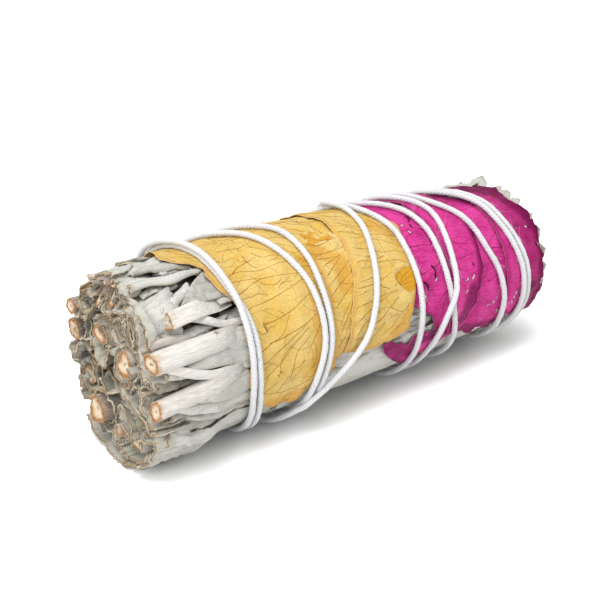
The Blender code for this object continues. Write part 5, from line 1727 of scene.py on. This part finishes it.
yellow.finish(yellow.plus(fine, yellow.share(net, 0.0, 0.12, 0.0, 0.6)), 0.07)


def vein_finish(name, scale, low, high, first, second):
    """The finish of veins: one colour, turning into another in spots."""
    made = Finish(name, 0.6)
    spots = made.noise(made.millimetres(), scale)
    made.colour = made.between(spots, low, high, first, second)
    made.finish(spots, 0.02)
    return made.material


brown_vein = vein_finish("petal_vein", 0.6, 0.3, 0.7, (0.30, 0.12, 0.016), (0.54, 0.28, 0.05))
dark_vein = vein_finish("dark_petal_vein", 0.8, 0.35, 0.65, (0.18, 0.015, 0.03),
                        (0.42, 0.02, 0.12))
print("nodes in the yellow petals' finish:", len(yellow.tree.nodes))

# %% [markdown]
# ## Magenta petals
# These are a strong pink, streaked lengthwise, and almost black where they are thick or folded.
# They are darker towards the tip end and, past the middle, on top. The petal's own map, in
# millimetres along and round the bundle, says where a point lies.

# %% Magenta petal finish
magenta = Finish("dried_magenta_petal", 0.5, specular=0.05)
flat = magenta.millimetres(own_map=True)
along, across = magenta.node("SeparateXYZ", Vector=flat).outputs[:2]
broad = magenta.noise(flat, 0.13)
streak = magenta.noise(magenta.millimetres((0.35, 3.0, 1.0), own_map=True), 1.0, 5.0, 0.65)
fine = magenta.noise(flat, 2.5, 4.0)
edge, ring = magenta.held("edge"), magenta.held("ring")
magenta.colour = magenta.between(broad, 0.35, 0.7, (0.87, 0.065, 0.38), (0.62, 0.020, 0.24))
magenta.lay((0.82, 0.13, 0.42), streak, 0.4, 0.75, 0.0, 0.6)
magenta.lay((0.42, 0.006, 0.13), streak, 0.5, 0.2, 0.0, 0.5)
magenta.lay((0.20, 0.003, 0.055), magenta.plus(edge, broad, 3.0), 0.8, 3.6, 0.85, 0.0)
magenta.lay((0.22, 0.003, 0.06), magenta.plus(along, broad, 8.0), 41.0, 53.0, 0.0, 0.65)
on_top = magenta.share(magenta.plus(across, streak, 9.0), 5.0, 13.0, 0.75, 0.0)
past_middle = magenta.share(magenta.plus(along, broad, 6.0), 28.0, 34.0)
darkened = magenta.times(on_top, past_middle)
magenta.colour = magenta.mix(darkened, magenta.colour, (0.17, 0.003, 0.06))
stained = magenta.times(magenta.held("mark"), magenta.plus(0.4, fine))
magenta.lay((0.15, 0.002, 0.06), stained, 0.1, 0.9, 0.0, 0.75)
magenta.lay((0.55, 0.30, 0.38), magenta.plus(edge, fine, 0.25), 0.12, 0.3, 0.5, 0.0)
magenta.lay((0.035, 0.006, 0.012), magenta.held("cut"), 0.16, 0.38, 0.97, 0.0)
magenta.lay((0.12, 0.01, 0.05), ring, 0.12, 0.3, 0.5, 0.0)
magenta.lay((0.80, 0.79, 0.78), ring, -0.03, 0.10, 1.0, 0.0)
magenta.finish(magenta.plus(magenta.times(streak, 1.2), fine), 0.06)
print("nodes in the magenta petals' finish:", len(magenta.tree.nodes))

# %% [markdown]
# ## Making the petals
# Each petal is its sheet, its traced veins and the net between them, in one object with two
# finishes. The yellow petals have closer and stronger nets than the magenta ones.

# %% Make the petals
HUES = {"yellow": dict(spacing=2.1, traced=0.12, net=0.11, finishes=[yellow.material, brown_vein]),
        "magenta": dict(spacing=3.2, traced=0.14, net=0.07,
                        finishes=[magenta.material, dark_vein])}
for name in PETALS:
    hue = name.split("_")[0]
    kind = HUES[hue]
    rng = np.random.default_rng(40 + list(PETALS).index(name))
    parts = [petal_blade(name)]
    traced = [smooth_line(line) for line in TRACED.get(name, [])]
    for line in traced:
        parts += vein(name, line, kind["traced"])
    for line, size in net_veins(name, kind["spacing"], rng):
        parts += vein(name, line, kind["net"] * size, clear_of(line, traced))
    object_from("dried_" + name, parts, kind["finishes"], name)

# %% [markdown]
# ## The cotton string
# One strand of soft white cotton, 1.2 mm thick. Its path lies on whatever is highest under it:
# the sage, a petal, or an older strand that it crosses, over which it makes a low hump.

# %% String path
CROSSING = 1.6 * STRING_RADIUS


def petal_tops(x, angle):
    """The highest petal surface at a place, or 0 where there is none."""
    top = np.zeros_like(x)
    for petal in PETALS.values():
        first, last = petal["near"][0], petal["near"][-2]
        local = (angle - first) % 360 + first
        near, far = margins(petal, local)
        inside = (local < last + 3) & (x > near - 1) & (x < far + 1)
        top = np.maximum(top, inside * (petal_rest(petal, x, local) + PETAL_THICKNESS))
    return top


def string_path():
    """The string's middle line, lifted over older strands, in steps of under a millimetre."""
    angle, x = route_angle[::2], route_x[::2]
    radius = np.maximum(sage_radius(x, angle), petal_tops(x, angle)) + STRING_RADIUS
    for one in range(len(x)):
        turn = from_top(angle[one] - angle[:one])
        beside = np.hypot(np.radians(turn) * radius[one], x[:one] - x[one])
        crossed = (angle[:one] < angle[one] - 180) & (beside < CROSSING)
        if crossed.any():
            radius[one] = max(radius[one], radius[:one][crossed].max() + CROSSING)
    lifted = np.array([radius[max(0, k - 7): k + 8].max() for k in range(len(radius))])
    rise = np.convolve(np.pad(lifted, 10, mode="edge"), np.full(21, 1 / 21), mode="valid")
    radius = np.maximum(radius, rise)
    at = np.arange(angle[0], angle[-1], 2.0)
    x, radius = np.interp(at, angle, x), np.interp(at, angle, radius)
    return place(x, at, radius, lowest=STRING_RADIUS + 0.02)


string_line = string_path()
string_length = np.linalg.norm(np.diff(string_line, axis=0), axis=1).sum()
print("string length:", round(string_length / 1000, 3), "m")

# %% [markdown]
# ## Twisted cotton
# Softly twisted cotton is three plies laid round each other. The section is a circle with three
# low lobes that turn along the string, and the fine threads of each ply are a pattern of slanted
# lines on the string's own map, which counts millimetres along it and turns round it. The grooves
# between them are sunk in the relief and darkened blue-grey as painted shade.

# %% String finish
TWIST_PITCH, PLIES = 2.4, 3.0
HALF_TURN = 3.1416
cotton = Finish("white_cotton", 0.9, sheen=0.25, specular=0.05)
own_map = cotton.node("TexCoord").outputs["UV"]
along, turned = cotton.node("SeparateXYZ", Vector=own_map).outputs[:2]
fallen = cotton.times(along, PLIES / TWIST_PITCH)
slant = cotton.maths("SUBTRACT", cotton.times(turned, PLIES), fallen)
ply_grooves = cotton.maths("ABSOLUTE", cotton.maths("SINE", cotton.times(slant, HALF_TURN)))
lint = cotton.noise(cotton.millimetres(), 4.0, 4.0, 0.7)
cotton.colour = cotton.between(lint, 0.35, 0.65, (0.80, 0.81, 0.84), (0.93, 0.93, 0.94))
# Painted shade: a blue-grey in the grooves between the plies.
cotton.lay((0.60, 0.61, 0.66), ply_grooves, 0.0, 0.5, 0.24, 0.0)
cotton.finish(cotton.plus(ply_grooves, lint, 0.5), 0.075)
print("a ply goes once round every", TWIST_PITCH * PLIES, "mm")

# %% [markdown]
# ## The string and its knot
# The string is one long rod. Its knot is on the back, where the photograph doesn't show it: a
# loop round the two ends, a circle leaning along the bundle with a small twist in it.

# %% String and knot
distance = np.concatenate([[0], np.cumsum(np.linalg.norm(np.diff(string_line, axis=0), axis=1))])
swell = 1 + 0.03 * waver(5, 6.0, distance)
rings = round_path(string_line, STRING_RADIUS * 0.97 * swell, 14,
                   turned=2 * np.pi * distance / (3 * TWIST_PITCH), lobes=0.04)


def knot(x, angle, size):
    """An overhand loop of the string round its own ends: a ring with a small twist."""
    turn = np.linspace(0, 2 * np.pi, 40, endpoint=False)[:, None]
    centre = place(np.array(x), np.array(angle), sage_radius(x, angle) + 2.2 * STRING_RADIUS)
    sine, cosine = math.sin(math.radians(angle)), math.cos(math.radians(angle))
    out, side, along = np.array([(0, -sine, cosine), (0, -cosine, -sine), (1, 0, 0)])
    loop = np.cos(turn) * side + np.sin(turn) * (0.75 * out + 0.55 * along)
    return centre + size * loop + 0.25 * np.sin(2 * turn) * along


loop = knot(-37.2, 250.0, 1.35)
loop = np.concatenate([loop, loop[:1]])
string_parts = [pipe(rings, length=distance),
                pipe(round_path(loop, STRING_RADIUS * 0.95, 12, lobes=0.05))]
print("rings along the string:", len(rings))

# %% [markdown]
# ## Lint
# Cotton sheds fine fibres. Each starts on the string's surface at a random ring, runs along or
# across it and bends away. Past the middle, longer and thinner ones reach over the petals too.
# They are kept above the floor and within a few tenths of a millimetre of the solids' box.

# %% Fibres
FIBRES = 1500
LONG_ONES_FROM = 6
LOWEST, HIGHEST = (-21.4, 0.03), (21.4, 40.0)


def fibres(rng, starts, ways, lengths, curls, thickness=0.022, steps=5):
    """Loose fibres, three-sided and tapering: each starts on the surface, leaves it in its own
    direction and bends back as it goes."""
    t = np.linspace(0, 1, steps)[None, :, None]
    turn = rng.normal(size=(len(starts), 1, 3))
    path = starts[:, None] + ways[:, None] * lengths[:, None, None] * t \
        + turn * curls * lengths[:, None, None] * t**2
    side = unit(np.cross(ways, turn[:, 0]))
    other = np.cross(ways, side)
    size = thickness * (1 - 0.7 * t[..., 0])
    ring = [path + size[..., None] * (math.cos(a) * side[:, None] + math.sin(a) * other[:, None])
            for a in (0, 2.094, 4.189)]
    points = np.stack(ring, axis=2).reshape(-1, 3)
    points[:, 1:] = np.clip(points[:, 1:], LOWEST, HIGHEST)
    first = (np.arange(len(starts)) * steps * 3)[:, None, None]
    return loose(points, (corners(steps, 3, wrapped=True) + first).reshape(-1, 4), slot=0)


rng = np.random.default_rng(77)
chosen = rng.integers(5, len(rings) - 5, FIBRES)
starts = rings[chosen, rng.integers(0, rings.shape[1], FIBRES)]
out = unit(starts - string_line[chosen])
along = unit(np.gradient(string_line, axis=0)[chosen])
ways = out * rng.uniform(0.2, 0.8, (FIBRES, 1)) + along * rng.choice([-1, 1], (FIBRES, 1))
ways = unit(ways)
string_parts.append(fibres(rng, starts, ways, rng.uniform(0.4, 1.3, FIBRES), 0.25))
long = string_line[chosen, 0] > LONG_ONES_FROM
for crossways in (0.4, -0.5):
    string_parts.append(fibres(rng, starts[long], ways[long] * 0.8 + crossways * along[long],
                               rng.uniform(1.2, 3.6, long.sum()), 0.4, 0.016, 7))
object_from("twisted_cotton_string", string_parts, [cotton.material], "cotton_string")
